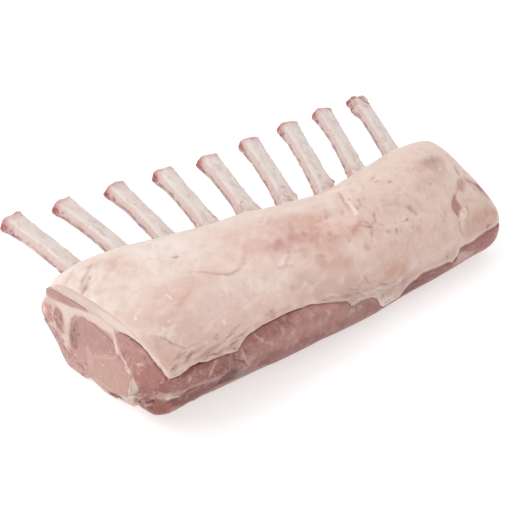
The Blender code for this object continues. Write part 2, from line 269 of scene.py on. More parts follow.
def grid_mesh(name, points, poles):
    """A closed mesh: quads between neighbouring rows, a fan at each pole, normals outwards."""
    rows, around = points.shape[:2]
    index = np.arange(rows * around).reshape(rows, around)
    beside = np.roll(index, -1, axis=1)
    quads = np.stack([index[:-1], beside[:-1], beside[1:], index[1:]], axis=-1).reshape(-1, 4)
    first, last = rows * around, rows * around + 1
    near = np.stack([np.full(around, first), beside[0], index[0]], axis=-1)
    far = np.stack([np.full(around, last), index[-1], beside[-1]], axis=-1)
    corners = np.concatenate([points.reshape(-1, 3), poles])
    loops = np.concatenate([quads.ravel(), near.ravel(), far.ravel()])
    sizes = np.concatenate([np.full(len(quads), 4), np.full(2 * around, 3)])
    mesh = bpy.data.meshes.new(name)
    mesh.vertices.add(len(corners))
    mesh.vertices.foreach_set("co", ((corners + DRAWING_SHIFT) * MM).ravel())
    mesh.loops.add(len(loops))
    mesh.loops.foreach_set("vertex_index", loops.astype(np.int32))
    mesh.polygons.add(len(sizes))
    mesh.polygons.foreach_set("loop_start", (np.cumsum(sizes) - sizes).astype(np.int32))
    mesh.update(calc_edges=True)
    mesh.validate()
    mesh.shade_smooth()
    print(name, len(quads) * 2 + 2 * around, "triangles")
    return mesh


SEEN_TO_OWN = 0.82  # the lights show a tissue brighter than the share of light it gives back


def dressed(name, points, poles, color, material, nodes, sharp_deg=50):
    """The colours are those seen."""
    mesh = grid_mesh(name, points, poles)
    mesh.set_sharp_from_angle(angle=np.radians(sharp_deg))
    tint = mesh.attributes.new("tissue", "FLOAT_COLOR", "POINT")
    rgba = np.ones((len(mesh.vertices), 4))
    rgba[:, :3] = np.clip(color, 0, 1) * SEEN_TO_OWN
    tint.data.foreach_set("color", rgba.ravel())
    mesh.materials.append(material)
    piece = bpy.data.objects.new(name, mesh)
    bpy.context.scene.collection.objects.link(piece)
    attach(piece, "root")
    if nodes:
        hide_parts(*nodes)
    return piece


def all_points(rows, poles):
    """All points of a piece as one list, in the mesh's order."""
    return np.concatenate([rows.reshape(-1, 3), poles])


# %% [markdown]
# ## Drawing on the meat
# Creases, seams, veins and stains are lines and patches that a butcher could point at. Each
# is a course of a few corners on the surface, with a width, a height and a colour. The
# distance of every point to the course in space gives both the relief and the paint, so a
# groove and its dark paint, which is partly painted shade, can't part. A painted picture would need an image, and a
# sculpted mesh could not be read.

# %% Lines and patches
def drawn(course, place):
    """A course of corners in two surface coordinates, set in space with four steps a stretch."""
    corners = np.array(course, float).reshape(-1, 2)
    at = np.linspace(0, len(corners) - 1, 4 * (len(corners) - 1) + 1)
    first = np.arange(len(corners))
    return place(np.interp(at, first, corners[:, 0]), np.interp(at, first, corners[:, 1]))


def cover(points, path, width):
    """How far a line covers each point: a bell of the distance to it, slimmer at a fine line's ends."""
    covered = np.zeros(len(points))
    reach = 2.6 * width
    near = np.flatnonzero(
        ((points > path.min(axis=0) - reach) & (points < path.max(axis=0) + reach)).all(axis=1))
    best, along = np.full(len(near), np.inf), np.zeros(len(near))
    last = max(len(path) - 1, 1)
    for k in range(last):
        start, step = path[k], path[min(k + 1, len(path) - 1)] - path[k]
        off = points[near] - start
        share = np.clip(off @ step / max(step @ step, 1e-9), 0, 1)
        gap = np.linalg.norm(off - share[:, None] * step, axis=1)
        nearer = gap < best
        best[nearer], along[nearer] = gap[nearer], (k + share[nearer]) / last
    fine = width < 2 and len(path) > 1
    slim = np.sin(np.pi * np.clip(along, 0.06, 0.94)) ** 0.6 if fine else 1.0
    covered[near] = bell(best, 0, width * slim)
    return covered


def worked(points, color, courses, place, crisp=False):
    """Lift in mm and colour after a list of (course, width, lift, colour, share). A crisp
    course has a firm edge where a soft one fades."""
    lift = np.zeros(len(points))
    for course, width, height, tint, share in courses:
        here = cover(points, drawn(course, place), width)
        here = ramp(here, 0.28, 0.6) if crisp else here
        lift += height * here
        color = mixed(color, linear(tint), share * here)
    return lift, color


def inside(flat, outline, soft):
    """How far points (n, 2) lie inside a closed outline: 0 outside, 1 inside, soft mm between them.
    A closed Catmull-Rom curve rounds the corners. The distance to its nearest stretch gets its
    sign from how often a line to the side crosses the curve."""
    corners = np.array(outline, float)
    curve = on_curve(corners[None], np.arange(4 * len(corners))[None] / 4)[0]
    covered = np.zeros(len(flat))
    reach = 2 * soft
    near = np.flatnonzero(((flat > curve.min(axis=0) - reach) & (flat < curve.max(axis=0) + reach)).all(axis=1))
    spot = flat[near]
    gap, within = np.full(len(near), np.inf), np.zeros(len(near), bool)
    for start, end in zip(curve, np.roll(curve, -1, axis=0)):
        step = end - start
        off = spot - start
        share = np.clip(off @ step / max(step @ step, 1e-9), 0, 1)
        gap = np.minimum(gap, np.linalg.norm(off - share[:, None] * step, axis=1))
        rise = step[1] if abs(step[1]) > 1e-9 else 1e-9
        spans = (start[1] > spot[:, 1]) != (end[1] > spot[:, 1])
        within ^= spans & (off[:, 0] < off[:, 1] * step[0] / rise)
    covered[near] = ramp(np.where(within, gap, -gap), -soft, soft)
    return covered


def filled(flat, color, areas, unit=1.0):
    """Lift in mm and colour after a list of areas (outline, soft edge, lift, colour, share). The
    points are in mm, and unit is the outlines' second coordinate in mm."""
    lift = np.zeros(len(flat))
    for outline, soft, height, tint, share in areas:
        here = inside(flat, np.array(outline, float) * (1, unit), soft)
        lift += height * here
        color = mixed(color, linear(tint), share * here)
    return lift, color


def strewn(flat, color, bundles, seed, unit=1.0):
    """Lift and colour after bundles of short strokes, strewn over an outline with fixed random
    numbers: (outline, count, direction and spread in degrees, length, width, lift, colour, share).
    Each stroke is a bell of the distance to a short line, slim at both its ends."""
    rng = np.random.default_rng(seed)
    lift = np.zeros(len(flat))
    for outline, count, (direction, fan), length, width, height, tint, share in bundles:
        corners = np.array(outline, float) * (1, unit)
        middles = rng.uniform(corners.min(axis=0), corners.max(axis=0), (8 * count, 2))
        middles = middles[inside(middles, corners, 0.3) > 0.5][:count]
        turns = np.radians(direction + fan * rng.normal(size=len(middles)))
        halves = 0.5 * length * rng.uniform(0.5, 1.4, len(middles))[:, None]
        halves = halves * np.column_stack([np.cos(turns), np.sin(turns)])
        for middle, half, strength in zip(middles, halves, rng.uniform(0.35, 1, len(middles))):
            near = np.flatnonzero((np.abs(flat - middle) < np.abs(half) + 2.5 * width).all(axis=1))
            off = flat[near] - middle
            along = np.clip(off @ half / (half @ half), -1, 1)
            gap = np.linalg.norm(off - along[:, None] * half, axis=1)
            here = strength * bell(gap, 0, width * (1 - 0.65 * along**2))
            lift[near] += height * here
            color[near] = mixed(color[near], linear(tint), share * here)
    return lift, color


# %% [markdown]
# ## Camera and studio
# The rack is seen from its front left, looking down by about a third of a right angle. White
# light from all round, a large box above the left end and a weaker one in front leave
# hardly a shadow, as on a packshot table.

# %% Camera and light
scene = bpy.context.scene
CAMERA_YAW, CAMERA_PITCH = np.radians(34.5), np.radians(35.5)
CAMERA_PLACE = (np.array([-133.0, -267.0, 301.0]) + DRAWING_SHIFT) * MM
camera_data = bpy.data.cameras.new("camera")
camera_data.sensor_width = 36
camera_data.lens = 70.3
camera = bpy.data.objects.new("camera", camera_data)
camera.location = CAMERA_PLACE
camera.rotation_euler = (np.pi / 2 - CAMERA_PITCH, 0, -CAMERA_YAW)
scene.collection.objects.link(camera)
scene.camera = camera
scene.view_settings.view_transform = "Standard"


def soft_box(name, place, look_at, size, watts):
    """A square area light at a place in metres, turned to face look_at."""
    data = bpy.data.lights.new(name, "AREA")
    data.shape = "SQUARE"
    data.size = size
    data.energy = watts
    lamp = bpy.data.objects.new(name, data)
    lamp.location = place
    away = np.array(place) - np.array(look_at)
    lamp.rotation_euler = (np.arctan2(np.hypot(*away[:2]), away[2]), 0, np.arctan2(away[0], -away[1]))
    scene.collection.objects.link(lamp)


soft_box("key_box", (-0.45, 0.15, 0.75), (0, 0, 0.02), 0.7, 3.6)
soft_box("front_box", (-0.2, -0.8, 0.45), (0, 0, 0.02), 0.6, 0.6)
world = bpy.data.worlds.new("studio")
world.use_nodes = True
world.node_tree.nodes["Background"].inputs["Color"].default_value = (1, 1, 1, 1)
world.node_tree.nodes["Background"].inputs["Strength"].default_value = 0.84
scene.world = world


# %% [markdown]
# ## Raw-meat finishes
# Raw fat, lean and scraped bone are wet protein: an IOR near 1.4, a satin skin, and light
# that sinks in for a millimetre or two, most of all the red. The colour comes from the
# piece's own attribute, which the drawing fills in. The finish adds the mottle and the
# grain that are too fine for the mesh.

# %% Materials
def add_node(tree, kind, settings=None, **links):
    """One shader node: settings set its properties or its sockets' values, links join its sockets.
    Socket names have _ for a space."""
    node = tree.nodes.new(kind)
    sockets = {socket.name.replace(" ", "_"): socket for socket in reversed(node.inputs)}
    for name, value in (settings or {}).items():
        if name in sockets:
            sockets[name].default_value = value
        else:
            setattr(node, name, value)
    for name, source in links.items():
        tree.links.new(source, sockets[name])
    return node


def meat_finish(name, settings, grain_mm, grain_depth_mm, mottle_mm, mottle, roughness, stretch=(1, 1, 1)):
    """Principled finish: the tissue attribute's colour, mottled, over a fine bumpy grain."""
    material = bpy.data.materials.new(name)
    material.use_nodes = True
    tree = material.node_tree
    tree.nodes.clear()
    place = add_node(tree, "ShaderNodeTexCoord").outputs["Object"]
    place = add_node(tree, "ShaderNodeMapping", {"Scale": stretch}, Vector=place).outputs["Vector"]
    tissue = add_node(tree, "ShaderNodeAttribute", {"attribute_name": "tissue"}).outputs["Color"]
    blotch = add_node(tree, "ShaderNodeTexNoise",
                      {"Scale": 1 / (mottle_mm * MM), "Detail": 4.0, "Roughness": 0.62}, Vector=place)
    light = add_node(tree, "ShaderNodeMapRange",
                     {"From_Min": 0.3, "From_Max": 0.7, "To_Min": 1 - mottle, "To_Max": 1 + mottle},
                     Value=blotch.outputs["Fac"]).outputs["Result"]
    tint = add_node(tree, "ShaderNodeVectorMath", {"operation": "SCALE"}, Vector=tissue, Scale=light)
    wet = add_node(tree, "ShaderNodeMapRange",
                   {"From_Min": 0.35, "From_Max": 0.65, "To_Min": roughness[0], "To_Max": roughness[1]},
                   Value=blotch.outputs["Fac"]).outputs["Result"]
    grain = add_node(tree, "ShaderNodeTexNoise",
                     {"Scale": 1 / (grain_mm * MM), "Detail": 3.0, "Roughness": 0.55}, Vector=place)
    bump = add_node(tree, "ShaderNodeBump", {"Strength": 1.0, "Distance": grain_depth_mm * MM},
                    Height=grain.outputs["Fac"])
    shader = add_node(tree, "ShaderNodeBsdfPrincipled", settings, Base_Color=tint.outputs["Vector"],
                      Roughness=wet, Normal=bump.outputs["Normal"])
    add_node(tree, "ShaderNodeOutputMaterial", Surface=shader.outputs["BSDF"])
    return material


def flesh(depth_mm, weight):
    """Settings for tissue that light sinks into: water and protein have an IOR near 1.4."""
    return {
        "IOR": 1.4, "Subsurface_Weight": weight,
        "Subsurface_Radius": (1.0, 0.4, 0.25), "Subsurface_Scale": depth_mm * MM,
    }


fat_finish = meat_finish("raw_fat", flesh(2.5, 0.2), 1.1, 0.16, 2.0, 0.035, (0.36, 0.52))
lean_finish = meat_finish("raw_lean", flesh(1.5, 0.1), 0.8, 0.16, 1.4, 0.09, (0.32, 0.5))
bone_finish = meat_finish("scraped_bone", flesh(1.2, 0.08), 0.6, 0.08, 1.6, 0.04, (0.32, 0.46))

# %% [markdown]
# ## Fat cover
# The fat is one sheet of firm, cool fat, 3 mm thick at its free edge, which was cut by
# hand and so wanders. One grid wraps the whole loin: its rows follow the wandering edge,
# curl in under it and go on below as the thin fat behind the bare meat. A sheet with
# Solidify would leave its underside and the cuts open.

# %% Course of the fat's free edge
LIP_COURSE = np.array([
    (0, 8.0), (7, 7.98), (9.5, 7.85), (12, 7.75), (17, 7.72), (20, 7.85), (23, 7.88), (30, 7.9), (33, 8.0),
    (36, 8.0), (38.5, 7.78), (41, 7.58), (45, 7.45), (52, 7.34), (62, 7.27), (72, 7.29), (80, 7.42), (88, 7.74),
    (94, 7.98), (99, 8.22), (102, 8.5), (103.5, 8.75), (105.5, 8.66), (110, 8.62), (116, 8.72), (120, 9.0),
    (123, 9.6), (126, 10.0), (136, 10.0), (140, 9.4), (143, 9.12), (150, 8.97), (156, 8.92), (162, 9.05),
    (169, 9.08), (172, 9.3), (174.4, 9.05), (175.6, 8.5), (180, 8.48), (185, 8.58), (190, 8.43), (200, 8.37),
    (208, 8.45),
])


def lip_mark(t):
    """The mark at which the fat ends over the bare lean: its course, and a ragged edge of half a mm."""
    x = t * RACK_LENGTH + 2.5 * (1 - t)
    ragged = layered(np.stack([x, 0 * x, 0 * x], axis=-1), 4, 13, 3)
    return np.interp(x, LIP_COURSE[:, 0], LIP_COURSE[:, 1]) + 0.05 * ragged * ramp(x, 2, 8)


def feathered(t):
    """0 where the fat's edge overhangs the lean, 1 towards the right, where it thins away on it."""
    return ramp(t * RACK_LENGTH, 84, 98)


def cut_corner(t, marks):
    """Extra inset where the bare front wall meets the left cut: a quarter round, 7 mm by 3 mm."""
    return 3.0 * edge_rounding(t[:, None] * RACK_LENGTH, 7, 1) * ramp(marks, 8.1, 9.0)


def spread(count, start, end):
    """Evenly spread marks from start up to, not including, end, for each ring."""
    return start + (end - start) * np.arange(count) / count


def crowded_places(count, crowd=0.4):
    """Places from cut to cut, closer together at the cuts."""
    even = np.linspace(0, 1, count)
    return even - crowd * np.sin(2 * np.pi * even) / (2 * np.pi)


# %% What shows on the fat
# Each is a course of (x, mark), its width and lift in mm, its colour, and how strongly it colours.
FAT_TONES = [
    ([(-5, 3.0), (40, 3.2)], 13, 0, "#f6e8e0", 0.8), ([(0, 4.6), (30, 4.2)], 9, 0.2, "#f5e2d8", 0.6),
    ([(55, 2.8), (95, 2.8)], 9, 0, "#f0dccd", 0.6), ([(100, 2.7), (125, 2.8)], 6, 0, "#eed3c6", 0.5),
    ([(8, 3.2), (16, 3.4)], 5, 0, "#e9cbc0", 0.8), ([(12, 5.0), (32, 4.9)], 8, 0, "#e4c4b8", 0.8),
    ([(20, 5.3), (44, 4.8)], 5, 0, "#dfbcae", 0.6), ([(2, 5.5), (12, 5.8)], 8, 0, "#e2c4b8", 0.7),
    ([(14, 6.0), (21, 6.1)], 5, -0.4, "#d3a899", 0.85), ([(22, 5.8), (34, 5.7)], 6, 0, "#dcbbaf", 0.7),
    ([(-2, 6.2), (3, 6.7)], 4, 0, "#e4c9bd", 0.6), ([(2, 6.6), (30, 6.5)], 7, 0, "#dcbdb1", 0.85),
    ([(3, 7.1), (36, 7.0)], 4.5, 0, "#dab7aa", 0.9), ([(4, 7.4), (14, 7.3)], 3.5, 0.2, "#c6a294", 0.9),
    ([(14, 7.55), (36, 7.45)], 2.5, 0.2, "#c79f92", 0.85), ([(10, 6.75), (16, 6.9)], 3, 0.3, "#dfc0b2", 0.8),
    ([(38, 5.9), (52, 6.0)], 7, 0.2, "#dec6bf", 0.8), ([(38, 6.6), (70, 6.5)], 6, 0, "#e3c4b8", 0.8),
    ([(40, 7.05), (62, 6.9), (82, 7.05)], 4, 0, "#d8b4a8", 0.9), ([(42, 7.25), (62, 7.1), (80, 7.2)], 1.6, 0.3, "#d2a99d", 0.8),
    ([(60, 5.4), (72, 5.6)], 5, 0, "#e6cbc1", 0.6), ([(64, 6.0), (84, 5.9)], 6, 0, "#ead2c7", 0.6),
    ([(70, 4.3), (110, 4.5)], 10, 0, "#e3baae", 0.8), ([(99, 3.9), (104, 4.3)], 5, -0.2, "#dcae9f", 0.7),
    ([(80, 4.75), (97, 4.8)], 4, -0.2, "#cda095", 0.8), ([(66, 3.5), (76, 3.7)], 6, 0, "#e6c2b6", 0.5),
    ([(88, 3.3), (92, 3.8)], 4, 0, "#dab0a2", 0.5), ([(96, 5.3), (122, 5.1)], 7, 0, "#d9ad9f", 0.8),
    ([(95, 5.9), (104, 6.1)], 6, 0, "#cfa696", 0.8), ([(80, 6.4), (92, 6.8)], 6, 0, "#d2b0a4", 0.7),
    ([(85, 7.4), (96, 7.75)], 4, 0, "#c7a296", 0.85), ([(100, 7.3), (122, 7.5)], 8, 0, "#d3b0a3", 0.85),
    ([(104, 8.1), (122, 8.5)], 5, 0, "#bd9b90", 0.9), ([(124, 8.8), (136, 9.2)], 6, 0, "#bfa196", 0.9),
    ([(125, 3.2), (200, 3.3)], 10, 0, "#efd5c8", 0.8), ([(130, 2.9), (140, 3.3)], 5, 0, "#f6e0d3", 0.8),
    ([(142, 4.3), (185, 4.4)], 10, 0, "#e9cbbe", 0.8), ([(138, 5.2), (185, 5.4)], 9, 0, "#dfc1b4", 0.8),
    ([(125, 6.2), (175, 6.6)], 10, 0, "#e3c3b7", 0.8), ([(138, 7.4), (178, 7.8)], 10, 0, "#dcbcb0", 0.8),
    ([(125, 7.6), (135, 8.0)], 5, 0.1, "#cfa28d", 0.9), ([(184, 7.2), (198, 7.4)], 6, 0.3, "#cba38f", 0.9),
    ([(184, 6.9), (178.5, 7.4), (180, 7.9)], 3, 0.5, "#dcbfb2", 0.8), ([(182, 8.05), (200, 8.1)], 4, 0, "#cfab9f", 0.8),
    ([(186, 4.2), (190, 4.6)], 4, -0.3, "#cbaa9d", 0.8), ([(172, 4.95), (186, 4.95)], 4, -0.1, "#d2b6a9", 0.7),
    ([(188, 6.3), (198, 6.5)], 6, 0.3, "#dabfb2", 0.7), ([(191, 5.75), (195, 5.5)], 2.2, -0.4, "#bb8b7e", 0.8),
    ([(201, 5.6), (205, 6.6)], 3, -0.2, "#bf8f86", 0.9), ([(202, 7.0), (204, 7.4)], 3, 0, "#cf9c83", 0.8),
    ([(5, 2.9), (16, 3.0)], 5, 0, "#e2c3b2", 0.7), ([(110, 4.65), (120, 4.72)], 5, 0, "#f4d4c8", 0.8),
    ([(82, 7.3), (90, 7.4)], 3, 0, "#dab8ac", 0.8), ([(110, 7.8), (120, 7.9)], 4, 0, "#e2bfb3", 0.7),
    ([(187, 4.05), (193, 4.2)], 4, 0, "#c39c8e", 0.8), ([(98, 8.0), (104, 8.2)], 2.4, 0, "#b48e82", 0.8),
    ([(79, 4.75), (92, 4.7)], 4, -0.1, "#c8958a", 0.8), ([(96, 4.95), (109, 4.72)], 3, 0, "#dba498", 0.6),
    ([(150, 8.5), (170, 8.6)], 3, 0, "#c5a296", 0.8), ([(139, 8.6), (146, 8.7)], 4, 0, "#c79790", 0.7),
    ([(36, 8.4), (42, 8.2)], 3, 0, "#dcb9ae", 0.7), ([(196.6, 7.98), (198.6, 8.04)], 1.0, -0.3, "#ab7a72", 0.7),
]
FAT_AREAS = [
    # the bright lip of the slit on the right half, and the lens-shaped tear near the right cut
    ([(125.6, 4.78), (127.6, 4.4), (128.8, 4.0), (130.4, 3.6), (132, 3.5), (131, 4.0), (130, 4.4), (128, 4.8)],
     0.9, 0.8, "#fae5d9", 0.9),
    ([(185.8, 5.84), (182.2, 5.98), (179.6, 6.18), (178.8, 6.5), (180, 6.78), (182, 6.6), (184.2, 6.5), (184.6, 6.2)],
     0.8, -1.1, "#aa7b6c", 0.95),
    # the raised bright lip below the tear, painted light as a highlight
    ([(180.2, 6.85), (181.8, 6.62), (183.4, 6.78), (185.6, 6.6), (184.8, 6.85), (182, 7.0)], 0.6, 0.7, "#efd6ca", 0.9),
    ([(203, 5.9), (204.4, 5.86), (205.4, 6.2), (204.4, 6.3), (203.4, 6.2)], 0.6, -0.4, "#9a6a62", 0.8),
    # the flap's raised triangle at the left cut
    ([(2.5, 6.2), (6, 6.35), (10, 6.75), (14.5, 7.25), (9, 7.45), (3, 7.5)], 1.4, 0.5, "#d2b0a2", 0.5),
]
FAT_LINES = [
    # the fold at the left shoulder
    ([(-10, 4.05), (-6, 3.9), (-3, 3.68), (1.5, 3.45)], 0.9, -1.0, "#b98a7b", 0.9),
    ([(-8.5, 3.85), (-4, 3.58), (1, 3.3), (5, 2.95)], 0.8, -0.7, "#c79c8d", 0.9),
    ([(-9, 3.95), (-4, 3.7), (1, 3.42)], 0.6, 0.5, "#ecd0c3", 0.7), ([(-6, 4.15), (0, 3.85), (6, 3.6)], 1.0, 0.5, "#fbeee6", 0.7),
    ([(-12, 3.5), (-7, 3.2), (-2, 2.8)], 1.2, -0.4, "#ddbcb2", 0.8), ([(-10.5, 3.7), (-6, 3.45), (-2, 3.15)], 1.0, 0.4, "#f3ddd3", 0.7),
    ([(4, 3.75), (10, 3.45), (17, 3.0)], 1.8, -0.4, "#e0bcaf", 0.7),
    # the wavy brown edge on the crown, and the fine one before it
    ([(36, 4.5), (42, 4.68), (46, 4.92), (51, 5.06), (56, 5.02), (60, 4.92), (63, 4.8)], 0.9, -0.4, "#cb9d90", 0.75),
    ([(47, 4.99), (51, 5.1), (55, 5.07)], 0.5, -0.4, "#b98777", 0.7),
    ([(40, 4.5), (47, 4.72), (54, 4.86), (60, 4.78)], 1.3, 0.5, "#efd7cb", 0.5),
    ([(36.4, 3.82), (37.6, 3.72)], 1.3, -0.5, "#b18b7c", 0.8), ([(58, 4.95), (62, 4.7), (66, 4.5)], 0.7, -0.3, "#d2aa9d", 0.6),
    ([(20, 5.6), (25, 5.35), (33, 5.05)], 0.9, -0.4, "#cfa395", 0.7), ([(12, 5.9), (18, 5.6), (22, 5.5)], 0.7, -0.2, "#d5ac9f", 0.6),
    ([(72, 5.45), (75, 5.55), (78, 5.45)], 0.9, -0.4, "#c59f90", 0.7), ([(81, 4.55), (84, 4.5)], 0.8, -0.4, "#bd8c7f", 0.7),
    ([(95, 4.7), (97.5, 4.5)], 0.9, -0.4, "#b7877a", 0.7), ([(81, 5.15), (84, 5.0)], 0.8, -0.3, "#c39486", 0.6),
    ([(94, 5.6), (96, 5.75)], 0.8, -0.3, "#b98a7b", 0.7),
    # the flap at the left cut's front
    ([(5, 6.25), (8, 6.42), (10, 6.65), (12, 6.92), (15, 7.22)], 0.9, -0.8, "#bd9585", 0.9),
    ([(4.5, 6.4), (3.4, 6.8), (2.6, 7.3)], 0.7, -0.3, "#c8a596", 0.6),
    ([(2, 6.1), (7, 6.25), (11, 6.55)], 1.0, 0.5, "#e8cfc3", 0.6), ([(14, 7.0), (15.5, 7.3)], 1.0, 0.4, "#dfc2b5", 0.6),
    # strands along the free edge
    ([(4, 7.62), (6.5, 7.55), (8.6, 7.46)], 0.8, -0.5, "#a57c6e", 0.85), ([(9, 7.5), (14, 7.42)], 0.6, -0.3, "#b58f81", 0.7),
    ([(19.4, 7.66), (22, 7.66), (26, 7.68), (30, 7.65), (33, 7.63), (36.4, 7.54)], 0.7, -0.6, "#9d6c60", 0.9),
    ([(22, 7.46), (26, 7.38), (30, 7.31), (34, 7.22), (37, 7.18)], 0.7, -0.6, "#a97d6f", 0.85),
    ([(23, 7.56), (30, 7.47), (37, 7.36), (43, 7.16)], 0.8, 0.6, "#dbbcb0", 0.7), ([(12, 7.62), (18, 7.52), (21, 7.56)], 0.7, 0.4, "#dabbae", 0.7),
    ([(22, 7.8), (27, 7.78), (32, 7.82)], 0.6, 0.5, "#d5afa4", 0.8), ([(26, 7.84), (29, 7.8)], 0.5, -0.4, "#8a5a50", 0.8),
    ([(33, 7.75), (36, 7.88)], 0.6, -0.4, "#96665b", 0.8), ([(36.5, 7.62), (39, 7.5), (42, 7.36)], 0.7, 0.4, "#d0aaa0", 0.7),
    ([(50, 7.12), (58, 7.05), (66, 7.12), (74, 7.22)], 0.6, -0.2, "#bd9387", 0.5),
    # the groove that parts the lower fat, right of the long bare window
    ([(84, 7.45), (92, 7.68), (99, 7.9), (104, 8.0)], 0.8, -0.4, "#b08f84", 0.7),
    ([(104, 8.0), (107, 8.25), (110, 8.4)], 0.8, -0.4, "#a3827a", 0.7),
    ([(115.6, 8.14), (118, 8.16), (121, 8.24), (124, 8.32)], 0.8, -0.6, "#9c7870", 0.85),
    ([(126, 8.3), (129, 8.36), (131.4, 8.44)], 0.8, -0.5, "#9e766c", 0.8),
    ([(133.4, 8.62), (135, 8.58), (137, 8.68)], 1.1, -0.5, "#97645b", 0.85),
    ([(106, 8.12), (114, 8.22), (122, 8.4), (130, 8.6)], 1.1, 0.5, "#d9c3ba", 0.6),
    ([(122, 8.7), (122.4, 8.95), (120.6, 9.1)], 0.7, -0.4, "#8f645c", 0.7), ([(127, 8.5), (128.6, 8.85)], 0.8, -0.3, "#b08d83", 0.6),
    ([(131, 9.5), (133, 9.44)], 0.8, -0.3, "#8e6c66", 0.7), ([(124, 9.5), (129, 9.46)], 0.8, -0.3, "#a5827b", 0.6),
    ([(150.6, 8.5), (152, 8.6)], 0.7, -0.3, "#ab827a", 0.6), ([(164.6, 8.58), (166.4, 8.62)], 1.0, -0.5, "#a3736a", 0.8),
    ([(162, 8.5), (164, 8.46)], 0.7, 0.4, "#e6c5bc", 0.7), ([(173.6, 8.4), (176, 8.34)], 0.8, 0.4, "#e0b5ad", 0.8),
    ([(168, 8.8), (172, 8.9)], 0.7, 0.4, "#d9bfb6", 0.7), ([(146, 8.8), (150, 8.7)], 0.8, 0.4, "#d3aaa2", 0.7),
    ([(110.4, 7.1), (111, 7.5), (112.6, 7.85)], 0.7, -0.4, "#bb9488", 0.7), ([(110.2, 6.8), (110.4, 7.05)], 0.6, 0.3, "#e9cec4", 0.6),
    ([(133, 7.4), (133.4, 7.8)], 0.7, -0.2, "#c79a88", 0.5), ([(143, 7.9), (147, 8.1)], 0.7, -0.2, "#c2a094", 0.5),
    ([(81.6, 6.4), (83, 6.6), (82.6, 6.8)], 1.0, -0.5, "#c09484", 0.8), ([(72, 6.3), (73, 6.5)], 1.2, -0.3, "#c9a496", 0.6),
    ([(57, 6.9), (58, 7.0)], 1.2, -0.5, "#b98c7c", 0.8), ([(56, 7.16), (58, 7.2)], 0.8, -0.4, "#b5887a", 0.8),
    # the slits on the right half and the star below them
    ([(125.6, 4.6), (127, 4.3), (128.6, 3.95), (130.6, 3.6), (132.4, 3.3)], 0.8, -0.9, "#b48b7b", 0.9),
    ([(130, 4.66), (130.6, 4.3)], 0.7, -0.6, "#b0856f", 0.8), ([(132, 4.56), (134, 4.42), (136.6, 4.14)], 0.8, -0.4, "#bd9282", 0.8),
    ([(120.4, 4.56), (124, 4.3)], 0.8, -0.4, "#c79d8c", 0.7), ([(110.4, 4.5), (113.6, 4.36)], 0.8, -0.4, "#b98e7e", 0.7),
    ([(118, 4.3), (123, 3.7), (127, 3.1)], 1.6, 0.4, "#f3d8cb", 0.6), ([(136, 3.2), (134, 3.7), (132.6, 4.2)], 1.6, 0.4, "#f8e2d6", 0.6),
    ([(115.4, 5.5), (118, 5.4), (121, 5.26), (125, 5.12), (128, 5.0)], 1.0, -0.4, "#c09183", 0.75),
    ([(124, 5.22), (127, 5.4), (128.4, 5.46), (126.4, 5.76), (122.6, 5.96)], 0.75, -0.7, "#b08273", 0.9),
    ([(127.8, 5.1), (128.6, 5.36)], 0.6, -0.5, "#b68677", 0.8), ([(128.4, 5.44), (132, 5.3)], 0.6, -0.5, "#b78a7a", 0.8),
    ([(132, 5.4), (134, 5.16), (136.4, 4.94)], 0.8, -0.5, "#b98e7d", 0.8), ([(132, 5.4), (134.6, 5.6)], 0.6, -0.3, "#c19483", 0.7),
    ([(127, 5.6), (130, 5.5), (132.6, 5.56)], 0.8, 0.6, "#f0cfc2", 0.7), ([(121.6, 5.3), (125, 5.3)], 0.8, 0.5, "#e9c6b9", 0.7),
    ([(126, 5.9), (128.6, 5.66)], 0.7, 0.3, "#e5c0b2", 0.6), ([(120.6, 5.9), (118.4, 6.3)], 0.9, -0.3, "#c39a8c", 0.6),
    # the ridge that runs on from the star, and the marks along it
    ([(131.6, 5.74), (135, 5.68), (138, 5.8), (141, 5.9), (144, 5.84)], 0.9, 0.6, "#ecd0c4", 0.85),
    ([(144, 5.84), (144.6, 5.6), (147, 5.74), (150.6, 5.8)], 0.7, 0.5, "#ecd2c7", 0.8),
    ([(145.4, 5.8), (147.4, 5.82), (150, 5.82)], 0.65, -0.7, "#98705f", 0.9),
    ([(138.4, 6.2), (139.6, 6.04), (141, 5.92)], 0.75, -0.7, "#9b7260", 0.9), ([(133, 5.9), (137, 5.96)], 0.7, -0.3, "#c49b8c", 0.7),
    ([(152, 5.9), (158, 6.0), (164, 6.14), (171, 6.4)], 0.9, 0.5, "#e6cdc1", 0.7), ([(149.6, 6.32), (150, 6.1)], 0.8, -0.3, "#b99687", 0.7),
    ([(154.6, 5.4), (156, 5.5), (155.4, 5.8)], 1.9, -0.6, "#b18a7a", 0.8), ([(157.6, 4.2), (159.4, 4.12)], 1.0, -0.5, "#b08974", 0.8),
    ([(150, 3.86), (153, 3.84), (156, 3.9)], 0.8, -0.3, "#c39f8e", 0.7), ([(150.4, 3.66), (154, 3.5), (157, 3.4)], 0.9, -0.3, "#cfab9b", 0.7),
    ([(147, 4.6), (151, 4.5)], 0.9, -0.2, "#cfaf9f", 0.5), ([(140, 4.95), (150, 5.0), (156, 4.8)], 1.2, -0.2, "#cba999", 0.5),
    ([(106, 4.95), (108, 5.1)], 1.0, -0.4, "#b88b7d", 0.7), ([(161, 6.9), (163, 6.6)], 0.8, -0.2, "#c3a295", 0.5),
    # the crease along the right end
    ([(201.4, 4.7), (199.4, 4.92), (197.6, 5.2)], 1.1, -0.7, "#b3827a", 0.85),
    ([(197.4, 5.3), (194, 5.44), (191, 5.62)], 0.8, -0.6, "#b48a7d", 0.85), ([(190.4, 5.66), (187.6, 5.8), (185.4, 5.88)], 0.7, -0.6, "#b38a7b", 0.8),
    ([(200, 4.9), (202, 4.8)], 0.8, 0.4, "#efcfc6", 0.7), ([(196, 5.1), (192, 5.4), (187, 5.66)], 1.0, 0.4, "#dfc8bc", 0.5),
